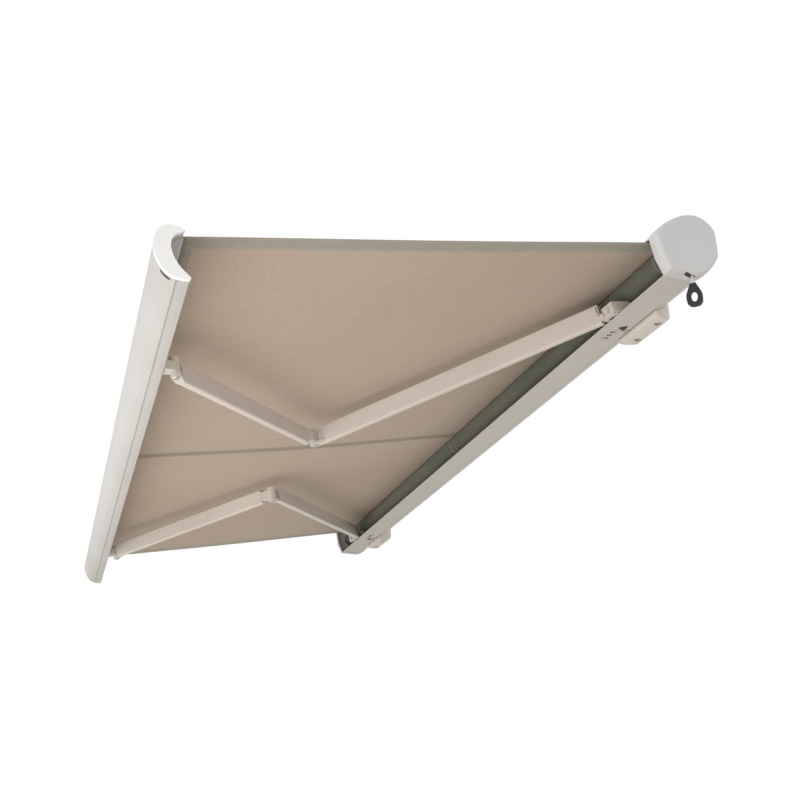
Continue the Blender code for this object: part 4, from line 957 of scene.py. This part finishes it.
def make_cap_fittings():
    """The crank's opening in the right cap, as a flat plate of painted shade, and two pressed rings
    inside the left cap.
    """
    left_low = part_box("left_end_cap")[0]
    roll_low, roll_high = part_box("fabric_roll")
    roll_axis = (roll_low + roll_high) / 2
    middle = (left_low.x + CAP_RING_PLACE[0], roll_axis.y + CAP_RING_PLACE[1],
              roll_axis.z + CAP_RING_PLACE[2])
    for number, (outer, inner) in enumerate(CAP_RINGS, start=1):
        coated_band(f"left_cap_ring_{number}", "left_end_cap", middle, (0.0, 1.0, 0.0),
                    ring_outline(outer), ring_outline(inner), CAP_RING_LIFT, CAP_FINISH)
    cap_low, cap_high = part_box("right_end_cap")
    crank_low, crank_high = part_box("crank_eye")
    middle = (cap_high.x + CRANK_OPENING_PLACE[0],
              (crank_low.y + crank_high.y) / 2 + CRANK_OPENING_PLACE[1],
              cap_low.z + CRANK_OPENING_PLACE[2])
    dark_plate("crank_opening", "right_end_cap", middle, CRANK_OPENING_WAY,
               rounded_outline(*CRANK_OPENING))


# ---------------------------------------------------------------- stage, light and camera

def make_stage():
    """A wide pale floor below the awning."""
    half, level = FLOOR_HALF, FLOOR_HEIGHT
    corners = [(-half, -half, level), (half, -half, level), (half, half, level),
               (-half, half, level)]
    mesh = bpy.data.meshes.new("floor")
    mesh.from_pydata(corners, [], [(0, 1, 2, 3)])
    floor = bpy.data.objects.new("floor", mesh)
    bpy.context.scene.collection.objects.link(floor)
    material, tree, shader = blank("pale_floor", 0.8)
    shade = ramp(tree, noise(tree, own_place(tree), 0.6, detail=3.0), 0.3, 0.7)
    tree.links.new(mixed(tree, shade, *FLOOR_TONES), shader.inputs["Base Color"])
    floor.data.materials.append(material)


def make_world():
    """Soft light on the awning, and plain white wherever the camera or a reflection looks."""
    world = bpy.data.worlds.new("studio")
    bpy.context.scene.world = world
    world.use_nodes = True
    tree = world.node_tree
    tree.nodes.clear()
    path = node(tree, "ShaderNodeLightPath").outputs
    seen = arithmetic(tree, "MAXIMUM", path["Is Camera Ray"], path["Is Glossy Ray"])
    seen = arithmetic(tree, "MAXIMUM", seen, path["Is Transmission Ray"])
    choose = node(tree, "ShaderNodeMixShader")
    tree.links.new(seen, choose.inputs[0])
    for number, (colour, strength) in enumerate(((SKY_COLOUR, SKY_STRENGTH),
                                                 (BACKDROP_COLOUR, 1.0)), start=1):
        light = node(tree, "ShaderNodeBackground")
        light.inputs["Color"].default_value = colour
        light.inputs["Strength"].default_value = strength
        tree.links.new(light.outputs[0], choose.inputs[number])
    out = node(tree, "ShaderNodeOutputWorld")
    tree.links.new(choose.outputs[0], out.inputs["Surface"])


def make_lamp(name, place, target, size, power, colour):
    """A square lamp that faces its target and isn't seen itself."""
    data = bpy.data.lights.new(name, "AREA")
    data.shape = "SQUARE"
    data.size = size
    data.energy = power
    data.color = colour
    lamp = bpy.data.objects.new(name, data)
    lamp.location = place
    lamp.rotation_mode = "QUATERNION"
    lamp.rotation_quaternion = (Vector(target) - Vector(place)).to_track_quat("-Z", "Y")
    lamp.visible_camera = False
    bpy.context.scene.collection.objects.link(lamp)


def make_camera():
    """The camera from its place, turn, rise and roll."""
    turn, rise, roll = (math.radians(a) for a in (CAMERA_TURN, CAMERA_RISE, CAMERA_ROLL))
    forward = Vector((math.cos(rise) * math.cos(turn), math.cos(rise) * math.sin(turn),
                      math.sin(rise)))
    right = forward.cross(Vector((0.0, 0.0, 1.0))).normalized()
    down = forward.cross(right)
    level_right = right * math.cos(roll) + down * math.sin(roll)
    level_up = -(down * math.cos(roll) - right * math.sin(roll))
    data = bpy.data.cameras.new("camera")
    data.sensor_width = CAMERA_SENSOR
    data.lens = CAMERA_LENS
    data.clip_end = CAMERA_REACH
    camera = bpy.data.objects.new("camera", data)
    axes = Matrix((level_right, level_up, -forward)).transposed().to_4x4()
    camera.matrix_world = Matrix.Translation(CAMERA_PLACE) @ axes
    bpy.context.scene.collection.objects.link(camera)
    bpy.context.scene.camera = camera


finish_cad_nodes()
make_canvas()
make_rolled_canvas()
make_bar_fittings()
make_rail_fittings()
make_shoulder_fittings()
make_cap_fittings()
make_stage()
make_world()
for lamp in LAMPS:
    make_lamp(*lamp)
make_camera()
bpy.context.scene.view_settings.view_transform = "Standard"
